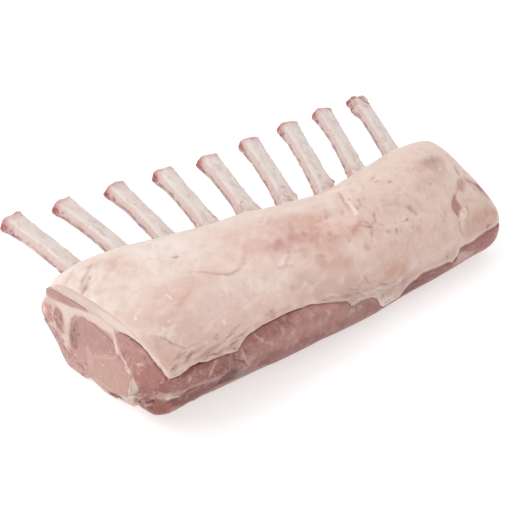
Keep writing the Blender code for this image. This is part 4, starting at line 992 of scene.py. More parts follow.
# %% What shows on the front wall
SIDE_MARKS = np.array([
    [(16.5, 7.5), (28, 3.5)], [(13, 11), (25, 7.5)], [(8, 17), (20, 12)],
    [(6.5, 21.5), (18, 16.5)], [(10, 26.5), (21.5, 21)], [(13, 30.5), (25, 25)],
    [(17.5, 33.5), (29, 27.5)], [(20.5, 38), (32.5, 29.5)], [(21, 42), (32, 31.5)],
    [(16, 44.6), (28, 31)], [(5, 43.8), (21, 28)], [(-2, 40.5), (14.5, 24)],
], float)
LEAN_ROSE, LEAN_RED, LEAN_DUSTY = linear("#cb9c91"), linear("#b98078"), linear("#b68a7f")
WALL_AREAS = [
    # the bare window at the left: orange-brown, dusky, brown hollow, with a pale band under them
    ([(-1, 7.8), (9, 7.9), (10.8, 8.5), (11, 9.1), (4, 9.4), (-1, 9.2)], 1.4, 0.3, "#9c5f53", 0.95),
    ([(8.5, 7.9), (22, 7.9), (24, 9.2), (12, 9.4), (10, 8.6)], 1.4, 0, "#945d53", 0.95),
    ([(9.5, 8.1), (13.5, 8.1), (16, 9.0), (12.5, 9.25), (10.5, 8.7)], 1.0, 0.2, "#a0685f", 0.9),
    ([(22, 7.85), (36, 8.0), (38, 8.6), (38.5, 9.3), (30, 9.5), (23, 9.3)], 1.5, 0, "#8e5a51", 0.9),
    ([(24.9, 8.3), (27.5, 8.1), (30.6, 8.28), (31.2, 8.7), (29.6, 9.12), (26, 9.12), (24.6, 8.7)],
     0.8, -0.8, "#915a4e", 0.95),
    ([(25.6, 8.0), (24.6, 8.3), (24.4, 8.7), (24, 9.15), (22.4, 9.1), (22.7, 8.6), (23.6, 8.1)], 0.5, 0.6, "#d7aa9b", 0.9),
    ([(1, 9.34), (12, 9.38), (24, 9.36), (32, 9.42), (30, 9.56), (20, 9.54), (12, 9.6), (5, 9.8), (1.5, 9.8)],
     0.6, 0.3, "#cba297", 0.9),
    # painted shade: the dark band along the window's top, under the fat's overhanging edge
    ([(7.8, 8.15), (9.2, 7.85), (13, 7.7), (18, 7.7), (19.5, 7.85), (14.5, 7.98), (11.5, 8.12), (9.5, 8.28)],
     0.7, -0.6, "#754740", 0.95),
    # raw red and a white tag along its foot
    ([(4.5, 10.35), (6, 9.98), (11, 9.74), (19, 9.6), (25, 9.72), (31, 9.8), (31, 10.3), (15, 10.6)],
     0.9, -0.4, "#7f4a46", 0.95),
    ([(30.5, 9.75), (33, 9.42), (36, 9.32), (39.5, 9.55), (41, 10.2), (31, 10.3)], 1.0, -0.5, "#602a2d", 0.95),
    ([(39.5, 9.55), (44, 9.35), (53, 9.5), (54, 10.3), (40, 10.3)], 1.3, 0.3, "#87766f", 0.9),
    ([(4.6, 9.3), (5.8, 9.3), (6.6, 9.55), (9, 9.66), (10.4, 9.86), (8, 9.94), (6, 9.84), (4.6, 9.9), (4.2, 9.6)],
     0.35, 0.5, "#dccdbc", 0.9),
    ([(-2, 9.9), (4, 10.0), (7, 10.3), (4, 10.8), (-2, 10.8)], 0.9, 0, "#93574f", 0.9),
    ([(4.5, 10.3), (7, 10.25), (7, 10.4), (5, 10.5)], 0.5, 0.1, "#b5645a", 0.8),
    # the long bare window: darkest high on the left, palest in its middle, red-brown along its foot
    ([(38.4, 8.3), (40, 7.7), (47, 7.35), (60, 7.2), (72, 7.2), (84, 7.5), (95, 8.0), (103, 8.5), (103.5, 9.3),
      (95, 10), (60, 10.6), (44, 9.7), (41, 9)], 1.2, 0.4, "#a67268", 0.95),
    ([(42, 7.7), (52, 7.35), (70, 7.3), (66, 7.9), (52, 8.3), (44, 8.7)], 3.0, 0, "#9b665d", 0.9),
    ([(60, 8.3), (80, 7.9), (95, 8.3), (98, 9), (64, 9)], 5.0, 0.4, "#ad7c72", 0.85),
    ([(68, 7.5), (78, 7.55), (90, 7.9), (92, 8.2), (80, 8.0), (68, 7.95)], 2.0, 0.2, "#c18d81", 0.8),
    ([(37, 9.1), (40, 9.05), (43, 9.3), (42, 9.5), (37, 9.5)], 0.9, 0, "#875650", 0.8),
    ([(45, 9.3), (60, 9.25), (85, 9.3), (112, 9.4), (112, 10.4), (60, 10.6), (45, 10)], 2.2, 0, "#965f58", 0.9),
    ([(39.2, 8.2), (41, 7.75), (43, 8.2), (45.5, 9), (43, 9.2)], 1.0, -0.2, "#a0706a", 0.7),
    # the second lobe, and the fat that reaches down at its left
    ([(100.5, 9.3), (103, 8.72), (108, 8.62), (114, 8.66), (119, 8.9), (122, 9.4), (122, 10.3), (100, 10.3)],
     1.2, 0, "#a17269", 0.95),
    ([(99.5, 8.75), (101.5, 8.62), (103.8, 8.72), (102.5, 9.0), (99.5, 9.1), (98, 9.0)], 1.0, 0.5, "#c39a92", 0.8),
    # the two bare bands towards the right cut
    ([(138, 9.1), (145, 8.9), (150, 8.8), (151, 9.7), (138, 9.8)], 1.0, -0.2, "#7a4240", 0.9),
    ([(142, 9.06), (146, 9.04), (150.5, 9.1), (149, 9.3), (143, 9.3)], 0.8, -0.3, "#68322f", 0.95),
    ([(149, 8.7), (158, 8.65), (166, 8.8), (172, 8.9), (173, 9.7), (149, 9.8)], 1.2, 0, "#8f5452", 0.9),
    ([(174, 8.4), (180, 8.4), (190, 8.3), (200, 8.3), (207, 8.4), (207, 9.6), (188, 9.7), (182, 9.1), (178, 8.9), (174.5, 8.7)],
     1.0, 0.2, "#a3645f", 0.95),
    ([(196, 8.5), (204, 8.5), (203, 9.1), (198, 9.1)], 2.0, 0.2, "#ab6c6a", 0.8),
    ([(174, 8.72), (178, 8.88), (183, 9.08), (188, 9.4), (180, 9.6), (172, 9.5)], 0.8, 0.3, "#c3a39b", 0.85),
    ([(170.6, 9.16), (172, 9.02), (174.2, 9.1), (173.6, 9.3), (171, 9.3)], 0.6, -0.4, "#5a2c2c", 0.95),
]
WALL_LINES = [
    # veins of fat in the long window
    ([(45.8, 7.55), (46, 7.8), (47.4, 7.95)], 0.7, 0.3, "#c8988e", 0.9),
    ([(47, 7.95), (48.6, 8.15), (49.4, 8.25)], 1.3, 0.3, "#cfa399", 0.9),
    ([(49, 8.15), (51.4, 8.35), (53.4, 8.4), (55, 8.65), (57.4, 9.0)], 0.75, 0.3, "#c99e94", 0.9),
    ([(53, 8.35), (55, 8.3)], 0.6, 0.2, "#c2968c", 0.7), ([(57.5, 7.6), (57.8, 7.9)], 0.6, 0.2, "#b98278", 0.7),
    ([(59.8, 7.8), (61.2, 8.1), (60.6, 8.4)], 1.0, 0.3, "#c79b91", 0.9), ([(61, 8.4), (60.4, 9.2)], 0.6, 0.2, "#b98a80", 0.6),
    ([(65.6, 8.2), (66.6, 8.6)], 1.0, 0.3, "#c79d93", 0.8), ([(66.8, 8.6), (68, 8.9)], 0.7, 0.2, "#bb8d83", 0.7),
    ([(76.4, 7.7), (77.6, 7.95), (78.4, 8.05)], 0.9, 0.3, "#caa096", 0.9), ([(77.6, 8.0), (78.2, 9.0)], 0.6, 0.2, "#bc8f85", 0.6),
    ([(84.4, 8.0), (86, 8.2), (87.2, 8.4), (87.4, 8.75)], 0.8, 0.3, "#cba198", 0.9), ([(92, 8.3), (93, 8.8)], 0.6, 0.2, "#bf9389", 0.5),
    ([(82.5, 8.9), (84, 9.3), (83.4, 9.6)], 0.7, 0.2, "#bb8c82", 0.6), ([(71, 9.0), (73, 9.5)], 0.7, -0.2, "#8f5a52", 0.5),
    ([(64, 7.5), (64.6, 7.9)], 0.6, -0.2, "#8a544b", 0.6), ([(50, 8.6), (52, 9.2)], 0.7, -0.2, "#915c55", 0.5),
    # slanting fibres in the left window
    ([(11, 8.15), (12.4, 8.5), (13.4, 8.9)], 0.6, 0.5, "#d9b4ab", 0.9), ([(12.6, 8.45), (13.6, 8.75)], 0.5, 0.4, "#e3c5bb", 0.8),
    ([(14.8, 8.2), (16.4, 8.7)], 0.5, 0.4, "#d2a79d", 0.8), ([(16.4, 8.3), (17.8, 8.9)], 0.5, 0.3, "#c4938a", 0.7),
    ([(7.5, 8.5), (9.5, 9.0)], 0.6, -0.4, "#85504a", 0.7), ([(9.8, 8.3), (11.4, 9.0)], 0.6, -0.4, "#86534e", 0.8),
    ([(4, 8.1), (3.6, 8.5)], 0.8, -0.5, "#84504a", 0.8), ([(20.4, 8.0), (22, 8.4)], 0.7, -0.4, "#7f4e47", 0.8),
    ([(24.8, 8.2), (24.4, 8.6)], 0.5, -0.6, "#7e4c42", 0.9), ([(25.4, 8.16), (28, 8.04), (30.6, 8.16)], 0.6, -0.5, "#7d4a41", 0.9),
    ([(31.6, 8.1), (33, 8.5), (34, 8.9)], 0.6, 0.5, "#cda097", 0.8), ([(32.4, 8.3), (33.8, 9.2)], 0.7, -0.5, "#7c4a45", 0.8),
    ([(34.6, 8.0), (35.6, 8.5), (36.4, 9.0)], 0.6, -0.5, "#86544f", 0.8), ([(35.6, 8.0), (37, 8.5), (37.6, 9.0)], 0.6, 0.5, "#c69a93", 0.8),
    ([(30.8, 9.1), (33, 9.3), (35, 9.3)], 0.6, 0.3, "#c4968d", 0.7), ([(26, 9.26), (31, 9.22)], 0.7, 0.3, "#c4978c", 0.7),
    ([(22, 9.3), (20, 9.5)], 0.6, 0.3, "#cda297", 0.6), ([(29.6, 9.7), (31, 9.9)], 0.7, 0.3, "#b8878a", 0.8),
    # the ragged foot of fat between the two bare windows
    ([(36.6, 7.85), (38, 8.2), (39.6, 8.6), (41.6, 8.95), (43.4, 9.15)], 0.9, 0.8, "#cba59f", 0.9),
    ([(38.4, 8.2), (40.2, 8.6), (42.6, 8.9)], 0.6, 0.6, "#dbb9b1", 0.9), ([(38.8, 8.0), (40.2, 8.35), (42, 8.75)], 0.6, -0.5, "#94605b", 0.8),
    ([(37.4, 8.4), (39, 8.9), (41, 9.2)], 0.7, -0.5, "#86524f", 0.8), ([(36.8, 8.6), (38.6, 9.1)], 0.6, 0.4, "#c1938f", 0.8),
    ([(39, 9.1), (42, 9.4)], 0.7, 0.4, "#c29893", 0.7), ([(41, 8.1), (42.4, 8.5)], 0.6, -0.3, "#945f59", 0.6),
    # the second lobe and the bands at the right
    ([(101, 8.6), (103.6, 8.8), (106, 9.1)], 0.8, 0.4, "#cdb3aa", 0.85), ([(104.6, 8.66), (108, 8.8), (111, 9.1)], 0.6, 0.3, "#c3a198", 0.8),
    ([(112, 8.66), (116, 8.84), (118, 9.2)], 0.7, 0.3, "#c6a59c", 0.8), ([(116.6, 8.76), (119.4, 8.96)], 0.7, 0.3, "#cfb5ac", 0.8),
    ([(152, 9.1), (158, 9.04), (163, 9.16)], 0.6, 0.3, "#b98884", 0.8), ([(144, 9.2), (148, 9.1)], 0.6, 0.3, "#a06a66", 0.7),
    ([(103.6, 8.72), (105.4, 8.76), (107, 8.84)], 0.7, -0.4, "#895a54", 0.8), ([(108, 8.8), (109, 9.4)], 0.7, 0.2, "#b28780", 0.5),
    ([(176, 8.5), (180, 8.62), (184, 8.7)], 0.6, -0.4, "#8a5755", 0.7), ([(179, 8.74), (184, 8.98), (188, 9.2)], 0.6, 0.3, "#b98483", 0.7),
    ([(183, 8.6), (187, 8.9)], 0.6, 0.2, "#b78684", 0.6), ([(191, 8.7), (192, 9.2)], 0.7, -0.2, "#8d5a59", 0.6),
    ([(155, 8.9), (156, 9.3)], 0.7, 0.2, "#b0807a", 0.5), ([(162, 8.9), (163.5, 9.3)], 0.7, -0.2, "#87524f", 0.5),
]
WALL_STROKES = [
    ([(3, 8.0), (36, 8.1), (37, 9.3), (3, 9.4)], 60, (64, 16), 4.5, 0.5, -0.35, "#7d4b45", 0.6),
    ([(3, 8.0), (36, 8.1), (37, 9.3), (3, 9.4)], 46, (64, 16), 3.5, 0.42, 0.35, "#d3a59b", 0.65),
    ([(5, 9.6), (32, 9.45), (40, 9.6), (30, 10.1), (8, 10.3)], 30, (150, 12), 4, 0.5, -0.3, "#6a3234", 0.6),
    ([(5, 9.4), (32, 9.3), (40, 9.5), (30, 9.8), (8, 10)], 26, (155, 14), 3.5, 0.45, 0.3, "#c48f88", 0.6),
    ([(35, 8), (39, 7.9), (45, 9), (46, 9.5), (35, 9.4)], 26, (62, 10), 5, 0.45, 0.5, "#cca49d", 0.6),
    ([(35, 8), (39, 7.9), (45, 9), (46, 9.5), (35, 9.4)], 22, (62, 10), 5, 0.45, -0.5, "#7d4b4a", 0.6),
    ([(40, 8), (60, 7.4), (80, 7.5), (102, 8.8), (100, 9.7), (46, 9.7)], 90, (70, 14), 5, 0.6, -0.15, "#8f5b52", 0.35),
    ([(40, 8), (60, 7.4), (80, 7.5), (102, 8.8), (100, 9.7), (46, 9.7)], 90, (70, 16), 3.5, 0.45, 0.15, "#c79c92", 0.4),
    ([(60, 9.2), (118, 9.1), (118, 9.8), (60, 9.8)], 40, (40, 30), 3, 0.45, 0.1, "#c3968e", 0.4),
    ([(140, 8.9), (172, 8.9), (172, 9.4), (140, 9.4)], 36, (60, 20), 3.5, 0.5, 0.15, "#b98982", 0.4),
    ([(140, 8.9), (172, 8.9), (172, 9.4), (140, 9.4)], 30, (60, 20), 3.5, 0.5, -0.15, "#6f3f3b", 0.45),
    ([(175, 8.5), (206, 8.4), (206, 9.4), (184, 9.3)], 40, (40, 14), 4, 0.5, 0.2, "#b98586", 0.45),
    ([(175, 8.5), (206, 8.4), (206, 9.4), (184, 9.3)], 34, (40, 14), 4, 0.5, -0.2, "#86524f", 0.45),
]
MARK_MM = 12.0  # one mark along the front wall
print(len(WALL_AREAS), "areas and", len(WALL_LINES), "lines on the front wall")

# %% Sections between the two cuts
def between_two(marks, t):
    """Marks (n, m, 2) between the two cuts, slimmer at mid-length by 13%."""
    t = np.asarray(t, float)[..., None, None]
    slim = np.concatenate([1 - 0.52 * t * (1 - t), np.ones_like(t)], axis=-1)
    return (marks[:, 0] * (1 - t) + marks[:, 1] * t) * slim


def in_place(flat, t):
    """Section points (n, k, 2) set at their places along the loin, on the leaning cut or its like."""
    t = np.asarray(t)[:, None]
    x = t * RACK_LENGTH - LEFT_CUT_SLANT * (1 - t) * flat[..., 0]
    return np.concatenate([x[..., None], flat], axis=-1)


def along_marks(marks, count):
    """Sections (n, m, 2) read as open chains of straight stretches, at count places."""
    at = np.linspace(0, marks.shape[1] - 1, count)
    first = np.minimum(np.floor(at).astype(int), marks.shape[1] - 2)
    share = (at - first)[:, None]
    return marks[:, first] * (1 - share) + marks[:, first + 1] * share


# %% Side muscle
SIDE_RINGS, WALL_FACE_ROWS, HIDDEN_ROWS = 380, 90, 50
SIDE_CAPS = (44, 30)
places = crowded_places(SIDE_RINGS)
lip = lip_mark(places)[:, None]
face_marks = (lip - 0.4) + (12.2 - lip + 0.4) * np.linspace(0, 1, WALL_FACE_ROWS)
under_lip = 1 - ramp(face_marks, lip - 0.15, lip + 0.12)
wall = loin_surface(places, face_marks).reshape(-1, 3)
wall_color = mixed(np.broadcast_to(linear("#a47469"), wall.shape), linear("#b6887d"), 0.4 + 0.5 * layered(wall, 8, 15, 3))
wavy = wobbled(wobbled(wall, 6, 0.9, 43), 2, 0.35, 46)
drift = (wavy - wall)[:, [0, 2]] * (1, -1)
flat = np.column_stack([wall[:, 0], face_marks.ravel() * MARK_MM]) + drift
areas, wall_color = filled(flat, wall_color, WALL_AREAS, MARK_MM)
lines, wall_color = worked(wavy, wall_color, WALL_LINES, on_loin)
strokes, wall_color = strewn(flat, wall_color, WALL_STROKES, 51, MARK_MM)
fibres = layered(wall, 3, 41, 3, (1, 1, 1.6))
wall_color = mixed(wall_color, linear("#7d4c44"), 0.35 * ramp(-fibres, 0.1, 0.7))
wall_color = mixed(wall_color, linear("#d3aaa0"), 0.35 * ramp(fibres, 0.2, 0.8))
near_lip = (face_marks - lip).ravel() * 11
shade = np.exp(-np.clip(near_lip, 0, 99) / 0.7) * (1 - 0.7 * feathered(wall[:, 0] / RACK_LENGTH))
wall_color = mixed(wall_color, linear("#6b3f38"), 0.4 * shade)
wall_color = mixed(wall_color, linear("#8a4b40"), 0.3 * ramp(40 - wall[:, 0], -4, 4) * ramp(9.8 - face_marks.ravel(), -0.2, 0.4))
raggedness = ramp(34 - wall[:, 0], -8, 8)
lift = areas + lines + strokes + 0.4 * lumps(wall, 14, 31) + (0.15 + 0.45 * raggedness) * fibres
face = loin_surface(places, face_marks, 1.2 - 0.4 * feathered(places)[:, None] + 1.6 * under_lip + cut_corner(places, face_marks)
                    - 0.6 * lift.reshape(face_marks.shape))
hidden = along_marks(between_two(SIDE_MARKS, places), HIDDEN_ROWS)
side_rings = np.concatenate([face, in_place(hidden, places)], axis=1)
side_points, side_poles = capped(side_rings, SIDE_CAPS, (0.1, 0.4), ((-4.3, 1.5, 24), (208, 15, 16)))
side_points[: SIDE_CAPS[0], :, 0] -= 0.12
side_all = all_points(side_points, side_poles)
side_color = mixed(np.broadcast_to(LEAN_ROSE, side_all.shape), LEAN_RED, 0.25 + 0.5 * layered(side_all, 7, 15, 3))
painted = side_color[SIDE_CAPS[0] * side_points.shape[1] :][: side_rings.shape[0] * side_rings.shape[1]]
painted.reshape(side_rings.shape)[:, :WALL_FACE_ROWS] = wall_color.reshape(*face_marks.shape, 3)
side_color = finish_cuts(side_points, side_poles, SIDE_CAPS, side_color)
dressed("side_muscle_meat", side_points, side_poles, side_color, lean_finish, ["side_muscle"])

# %% [markdown]
# ## The inner muscles
# Three muscles run from cut to cut inside the fat and show only their cut ends: the large eye,
# the thin cap over it and the small one at the rib corner. Each is its outline at the left cut
# turned slowly into its outline at the right one, a loft between two sections. They stand a
# hair proud of the fat, so that the cut shows lean where there is lean.

# %% Eye, cap and rib-side muscles
EYE_MARKS = np.array([
    [(39, 38.5), (50, 34)], [(31, 37.3), (42, 33)], [(24, 36), (34.5, 31)], [(20.8, 31), (30.5, 26.5)],
    [(15.8, 28), (26.5, 23)], [(12.8, 24), (24, 19)], [(12.8, 17), (24, 13)], [(16, 11), (27, 9)],
    [(22, 7), (33, 6.5)], [(31, 5), (42, 5)], [(41, 5.2), (52, 5.2)], [(49, 8.5), (60, 8.5)],
    [(54, 15), (65, 14)], [(53, 24), (64, 22)], [(48, 32), (59, 29)],
], float)
CAP_MARKS = np.array([
    [(67, 36.5), (75, 32)], [(65.5, 40.5), (73, 35.5)], [(58, 42.3), (68, 39)], [(50, 42.8), (60, 40)],
    [(44, 43.2), (54, 40.3)], [(38, 42.3), (48, 39)], [(45, 40.3), (55, 37)], [(52, 38.2), (62, 35)],
    [(58, 37), (68, 33.5)], [(63, 34.8), (72, 31)],
], float)
RIB_SIDE_MARKS = np.array([
    [(72, 24.5), (78.5, 22.5)], [(69.5, 29), (77, 26.5)], [(66.5, 31), (75, 27.5)], [(64, 29.5), (73, 26.5)],
    [(61, 32.3), (71, 28.5)], [(57.8, 31.5), (68, 28.5)], [(57.5, 27), (68, 24.5)], [(57, 22.5), (67.5, 20.5)],
    [(60, 19.8), (70.5, 18.5)], [(65, 20.5), (75, 19)], [(69.5, 20.5), (77, 19)],
], float)


def muscle(name, marks, around, caps, doming, color, nodes, ends=8):
    """A muscle that runs from cut to cut inside the fat and stands a little proud of both cuts."""
    t = np.linspace(0, 1, ends)
    at = np.broadcast_to(np.arange(around) * len(marks) / around, (len(t), around))
    rings = in_place(on_curve(between_two(marks, t), at), t)
    rings[0, :, 0] -= 0.15
    rings[-1, :, 0] += 0.35
    points, poles = capped(rings, caps, doming)
    everything = all_points(points, poles)
    tint = mixed(np.broadcast_to(color, everything.shape), LEAN_RED, 0.15 + 0.4 * layered(everything, 9, 55, 3))
    tint = finish_cuts(points, poles, caps, tint)
    return dressed(name, points, poles, tint, lean_finish, nodes)


muscle("loin_eye_meat", EYE_MARKS, 200, (52, 30), (0.1, 0.6), LEAN_ROSE, ["loin_eye"])
muscle("cap_muscle_meat", CAP_MARKS, 120, (14, 10), (0.0, 0.2), linear("#d2aca1"), ["cap_muscle"])
muscle("rib_side_meat", RIB_SIDE_MARKS, 120, (22, 12), (0.1, 0.3), linear("#c8948b"), ["rib_side_muscle"])

# %% [markdown]
# ## The rib meat
# Between and over the ribs lies a thin, rough layer of lean and membrane. It makes the rack's
# underside and its back wall, so it follows the loin's outline there, with noise for its
# roughness, and its inner side follows the ribs.

# %% Rib meat
RIB_INNER = np.array([
    [(71, 17.3), (85, 16)], [(66, 17), (77, 16)], [(60.5, 16), (71.5, 15)], [(56.5, 11.5), (68, 10.5)],
    [(50.5, 6.2), (61.5, 5.2)], [(42.6, 5), (54, 2.9)], [(37, 5), (46, 2.6)], [(29, 3.4), (38, 2.9)],
], float)
RIB_RINGS, RIB_CAPS = 300, (18, 14)
places = np.linspace(0, 1, RIB_RINGS)
outer_marks = np.linspace(12.8, 15.9, 90)[None] + 0 * places[:, None]
outer = loin_surface(places, outer_marks)
outer = loin_surface(places, outer_marks, -0.1 + 0.4 * layered(outer, 8, 61, 3))
rib_rings = np.concatenate([outer, in_place(along_marks(between_two(RIB_INNER, places), 24), places)], axis=1)
rib_rings[0, :, 0] -= 0.12
rib_rings[-1, :, 0] += 0.35
rib_points, rib_poles = capped(rib_rings, RIB_CAPS)
rib_all = all_points(rib_points, rib_poles)
rib_color = mixed(np.broadcast_to(LEAN_ROSE, rib_all.shape), FAT_CREAM, 0.3 + 0.5 * layered(rib_all, 7, 65, 3))
rib_color = finish_cuts(rib_points, rib_poles, RIB_CAPS, rib_color)
dressed("rib_meat_layer", rib_points, rib_poles, rib_color, lean_finish, ["rib_meat"])

# %% [markdown]
# ## Rib bones
# Each rib is a flattened, gently bowed bar of bone, sawn off at its tip and scraped clean
# with the back of a knife: grey ivory on its broad face, with a ridge a third of the way
# across, pink at its edges, where the membrane clung, and red where marrow or meat is left.
# One section of ten corners is carried along each rib's course.

# %% Bones
BONES = np.array([
    (11.4, -2.7, 132.4), (34.8, 23.9, 131.6), (56.4, 52.4, 130.4), (78.3, 80.2, 129.6), (100.7, 106.7, 128.2),
    (122.3, 135.3, 131.2), (145.7, 163.6, 134.4), (169.1, 189.7, 136.4), (196.4, 216.2, 138),
])
BONE_COURSE = np.array([(27, 2.8), (50, 2.9), (60, 9), (67, 17), (75, 25)])
ROOT_Y, TIP_Z, BONE_ARCH = 72.0, 34.0, 2.0
BONE_SECTION = np.array([
    (1.0, 0.0), (0.92, 0.52), (0.4, 0.8), (-0.36, 1.0), (-0.7, 0.66), (-0.94, 0.0),
    (-0.82, -0.68), (-0.3, -0.98), (0.38, -0.98), (0.86, -0.62),
])
# Scraps of meat left beside a root: distance from the root plane, section mark, height in mm.
BONE_SCRAPS = {1: [(14, 9.6, 1.6)], 4: [(10, 4.6, 1.2)], 5: [(10.5, 9.9, 1.0)], 6: [(11, 9.7, 1.6)],
               7: [(11.5, 9.8, 2.2)], 8: [(11, 9.9, 2.6), (13, 5, 1.0)], 9: [(9, 9.9, 4.5), (12, 9.7, 3.0), (13, 4.8, 1.2),
               (53, 5, 1.8), (56, 5, 2.0), (59, 5, 1.2)]}
BONE_ROUGH = {1: 0.5, 8: 0.4, 9: 1.6}
BONE_WIDTH = {1: 1.02, 2: 0.96, 3: 0.98, 4: 1.02, 5: 1.02, 8: 0.94, 9: 0.92}  # of the common width
# In (distance from the tip, distance round the section): flecks, scrape marks and membrane.
BONE_STROKES = [
    ([(0, 13.5), (10, 14), (10, 17.5), (0, 17.5)], 16, (0, 30), 2.4, 0.55, 0.15, "#98454a", 0.85),
    ([(6, 14.8), (56, 14.8), (56, 17.6), (6, 17.6)], 40, (0, 8), 4, 0.5, -0.15, "#957371", 0.7),
    ([(3, 1), (56, 1), (56, 11), (3, 11)], 34, (0, 6), 7, 0.6, 0.06, "#f0e9e4", 0.5),
    ([(3, 1), (56, 1), (56, 11), (3, 11)], 24, (0, 10), 6, 0.6, -0.08, "#d0b5af", 0.45),
    ([(1, -2), (56, -2), (56, 1.4), (1, 1.4)], 30, (0, 20), 2.0, 0.5, 0.25, "#c08284", 0.65),
    ([(3, 2), (30, 2), (30, 12), (3, 12)], 6, (0, 90), 1.4, 0.5, -0.15, "#b08d80", 0.6),
    ([(40, -2), (58, -2), (58, 17), (40, 17)], 10, (0, 40), 2.0, 0.6, 0.2, "#b5696a", 0.6),
]
BONE_AROUND, HIDDEN_STEPS, BARE_STEPS, BONE_CAPS = 80, 24, 170, (8, 14)
BONE_IVORY, BONE_PINK, BONE_RED = linear("#e8dcd4"), linear("#d8b1ab"), linear("#b0605f")


def bone_path(root_x, tip_x, tip_y):
    """A rib's centre line as a Catmull-Rom curve: under the loin, round the corner and out in a low arch."""
    course_y = BONE_COURSE[:, 0] * on_loin([root_x], [0.0])[0, 1] / 75
    share = np.linspace(0, 1, 5)[1:]
    root_y, root_z = course_y[-1], BONE_COURSE[-1, 1]
    y = np.concatenate([course_y, root_y + (tip_y - root_y) * share])
    z = np.concatenate([BONE_COURSE[:, 1], root_z + (TIP_Z - root_z) * share + BONE_ARCH * 4 * share * (1 - share)])
    lean = (tip_x - root_x) / (tip_y - ROOT_Y)
    x = root_x + lean * (y - ROOT_Y) * np.where(y < ROOT_Y, 0.5, 1)
    knots = np.column_stack([x, y, z])
    knots = np.concatenate([[2 * knots[0] - knots[1]], knots, [2 * knots[-1] - knots[-2]]])
    at = np.concatenate([np.linspace(0, 3.6, HIDDEN_STEPS), np.linspace(3.7, 8, BARE_STEPS)])
    first = np.minimum(np.floor(at).astype(int), 7)
    f = (at - first)[:, None]
    before, start, end, after = (knots[first + k] for k in range(4))
    return 0.5 * (2 * start + (end - before) * f + (2 * before - 5 * start + 4 * end - after) * f**2
                  + (3 * start - before - 3 * end + after) * f**3)


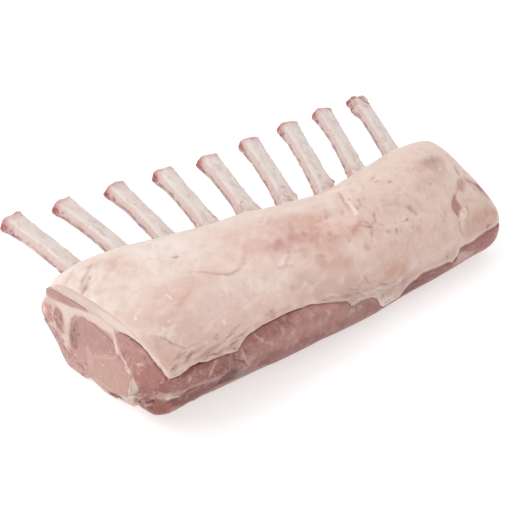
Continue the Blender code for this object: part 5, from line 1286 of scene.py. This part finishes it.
def bone_piece(number, root_x, tip_x, tip_y):
    """A rib: the section carried along its path, wider at its tip and root, then scraped and stained."""
    path = bone_path(root_x, tip_x, tip_y)
    along = np.gradient(path, axis=0)
    along /= np.linalg.norm(along, axis=1, keepdims=True)
    side = np.cross(along, (0, 0, 1))
    side /= np.linalg.norm(side, axis=1, keepdims=True)
    up = np.cross(side, along)
    y = path[:, 1]
    to_tip, from_root = (tip_y - y)[:, None], (y - ROOT_Y)[:, None]
    flare = np.clip(1 - (tip_y - y) / 20, 0, 1) ** 1.6
    half_width = (5.5 + 1.5 * flare + 0.9 * bell(y, ROOT_Y + 4, 9)) * BONE_WIDTH.get(number, 1)
    half_height = 3.0 + 0.6 * flare
    turn = np.arange(BONE_AROUND) * len(BONE_SECTION) / BONE_AROUND
    section = on_curve(BONE_SECTION[None], turn[None])[0]
    rings = (path[:, None] + (half_width[:, None] * section[:, 0] + 0.2 * flare[:, None])[..., None] * side[:, None]
             + (half_height[:, None] * section[:, 1])[..., None] * up[:, None])
    rings = rings + (flare[:, None] * (0.4 + 1.3 * section[:, 0]))[..., None] * along[:, None]
    out = rings - path[:, None]
    out /= np.linalg.norm(out, axis=-1, keepdims=True)
    seen = np.broadcast_to(turn, rings.shape[:2])
    knobs = 1 + BONE_ROUGH.get(number, 0) * np.exp(-(to_tip / 11) ** 2)
    ragged = np.exp(-to_tip / 3) + 0.9 * np.exp(-np.abs(from_root - 10) / 5)
    edge = bell(seen, 5.0, 0.9) + bell(np.mod(seen + 5, 10), 5.2, 0.9)
    lift = 0.25 * layered(rings, 5, 70 + number, 3) * (1 + 1.2 * ragged) * knobs
    lift = lift + 0.28 * layered(rings, 2.2, 170 + number, 2) * (0.3 + edge + ragged) * knobs
    for at, x_side, height in BONE_SCRAPS.get(number, ()):
        lift = lift + height * np.exp(-((from_root - at) / 1.7) ** 2) * bell(np.mod(seen - x_side + 5, 10), 5, 0.8)
    blotch = layered(rings, 6, 80 + number, 3, (1, 1, 1))
    fine = layered(rings, 2.6, 180 + number, 3)
    color = mixed(np.broadcast_to(BONE_IVORY, rings.shape), BONE_PINK, 0.15 + 0.35 * blotch)
    facet = ramp(seen, 3.1, 3.8) * (1 - ramp(seen, 8.5, 9.5))
    color = mixed(color, linear("#d8bbb4"), 0.65 * facet)
    # Painted highlight: a lighter line along the ridge of the broad face.
    color = mixed(color, linear("#efe6e0"), (0.35 + 0.5 * blotch) * bell(seen, 3.0, 0.4))
    edges = bell(seen, 5.0, 0.4) + bell(np.mod(seen + 5, 10), 5.2, 0.4)
    color = mixed(color, linear("#b97c7b"), edges * (0.35 + 0.9 * fine))
    color = mixed(color, linear("#c98f8f"), np.exp(-(to_tip / 3.2) ** 2) * (0.65 + 0.7 * fine))
    color = mixed(color, BONE_RED, np.exp(-(to_tip / 5) ** 2) * bell(seen, 4.7, 0.9) * (0.85 + 0.6 * fine))
    stain = np.exp(-np.clip(from_root - 9, 0, 99) / 4) * (0.15 + 0.8 * layered(rings, 3, 95 + number, 2))
    color = mixed(color, linear("#c58d86"), stain)
    color = mixed(color, linear("#b4625f"), np.clip((knobs - 1) * (0.25 + 0.9 * fine), 0, 0.85))
    flat = np.stack([to_tip + 0 * seen, (np.mod(seen + 1, 10) - 1) * 3.2], axis=-1).reshape(-1, 2)
    strokes, color = strewn(flat, color.reshape(-1, 3), BONE_STROKES, 300 + number)
    rings = rings + out * (lift + strokes.reshape(lift.shape))[..., None]
    rings[..., 2] = np.maximum(rings[..., 2], 0.0)
    color = color.reshape(rings.shape)
    rings = rings[:, ::-1]
    points, poles = capped(rings, BONE_CAPS)
    hidden_end = np.broadcast_to(BONE_IVORY, (BONE_CAPS[0] * BONE_AROUND, 3))
    sawn = points[-BONE_CAPS[1] :]
    inwards = (np.arange(BONE_CAPS[1]) + 1)[:, None] / BONE_CAPS[1]
    spongy = layered(sawn, 1.8, 400 + number, 2)
    sawn_end = mixed(np.broadcast_to(BONE_IVORY, sawn.shape), linear("#b8716a"),
                     ramp(inwards + 0.2 * spongy, 0.2, 0.5) * np.clip(0.6 + 0.6 * spongy, 0, 1))
    tint = np.concatenate([hidden_end, color[:, ::-1].reshape(-1, 3), sawn_end.reshape(-1, 3), [BONE_IVORY, BONE_RED]])
    return dressed(f"rib_bone_{number}_scraped", points, poles, tint, bone_finish, [f"rib_bone_{number}"])


for number, bone in enumerate(BONES, start=1):
    bone_piece(number, *bone)

# %% [markdown]
# ## The floor
# In a studio such a piece lies on white paper, lit so that the paper shows nearly
# white with only a soft shadow under the meat. The paper gives off a little light of its own
# here, which fills the shadow as a lit table does.

# %% Floor
floor_mesh = bpy.data.meshes.new("floor")
floor_mesh.from_pydata([(-3, -3, 0), (3, -3, 0), (3, 3, 0), (-3, 3, 0)], [], [(0, 1, 2, 3)])
floor = bpy.data.objects.new("floor", floor_mesh)
scene.collection.objects.link(floor)
floor_finish = bpy.data.materials.new("white_paper")
floor_finish.use_nodes = True
paper = floor_finish.node_tree.nodes["Principled BSDF"]
paper.inputs["Base Color"].default_value = (0.62, 0.62, 0.62, 1)
paper.inputs["Emission Color"].default_value = (1, 1, 1, 1)
paper.inputs["Emission Strength"].default_value = 0.5
paper.inputs["Roughness"].default_value = 0.8
floor_mesh.materials.append(floor_finish)
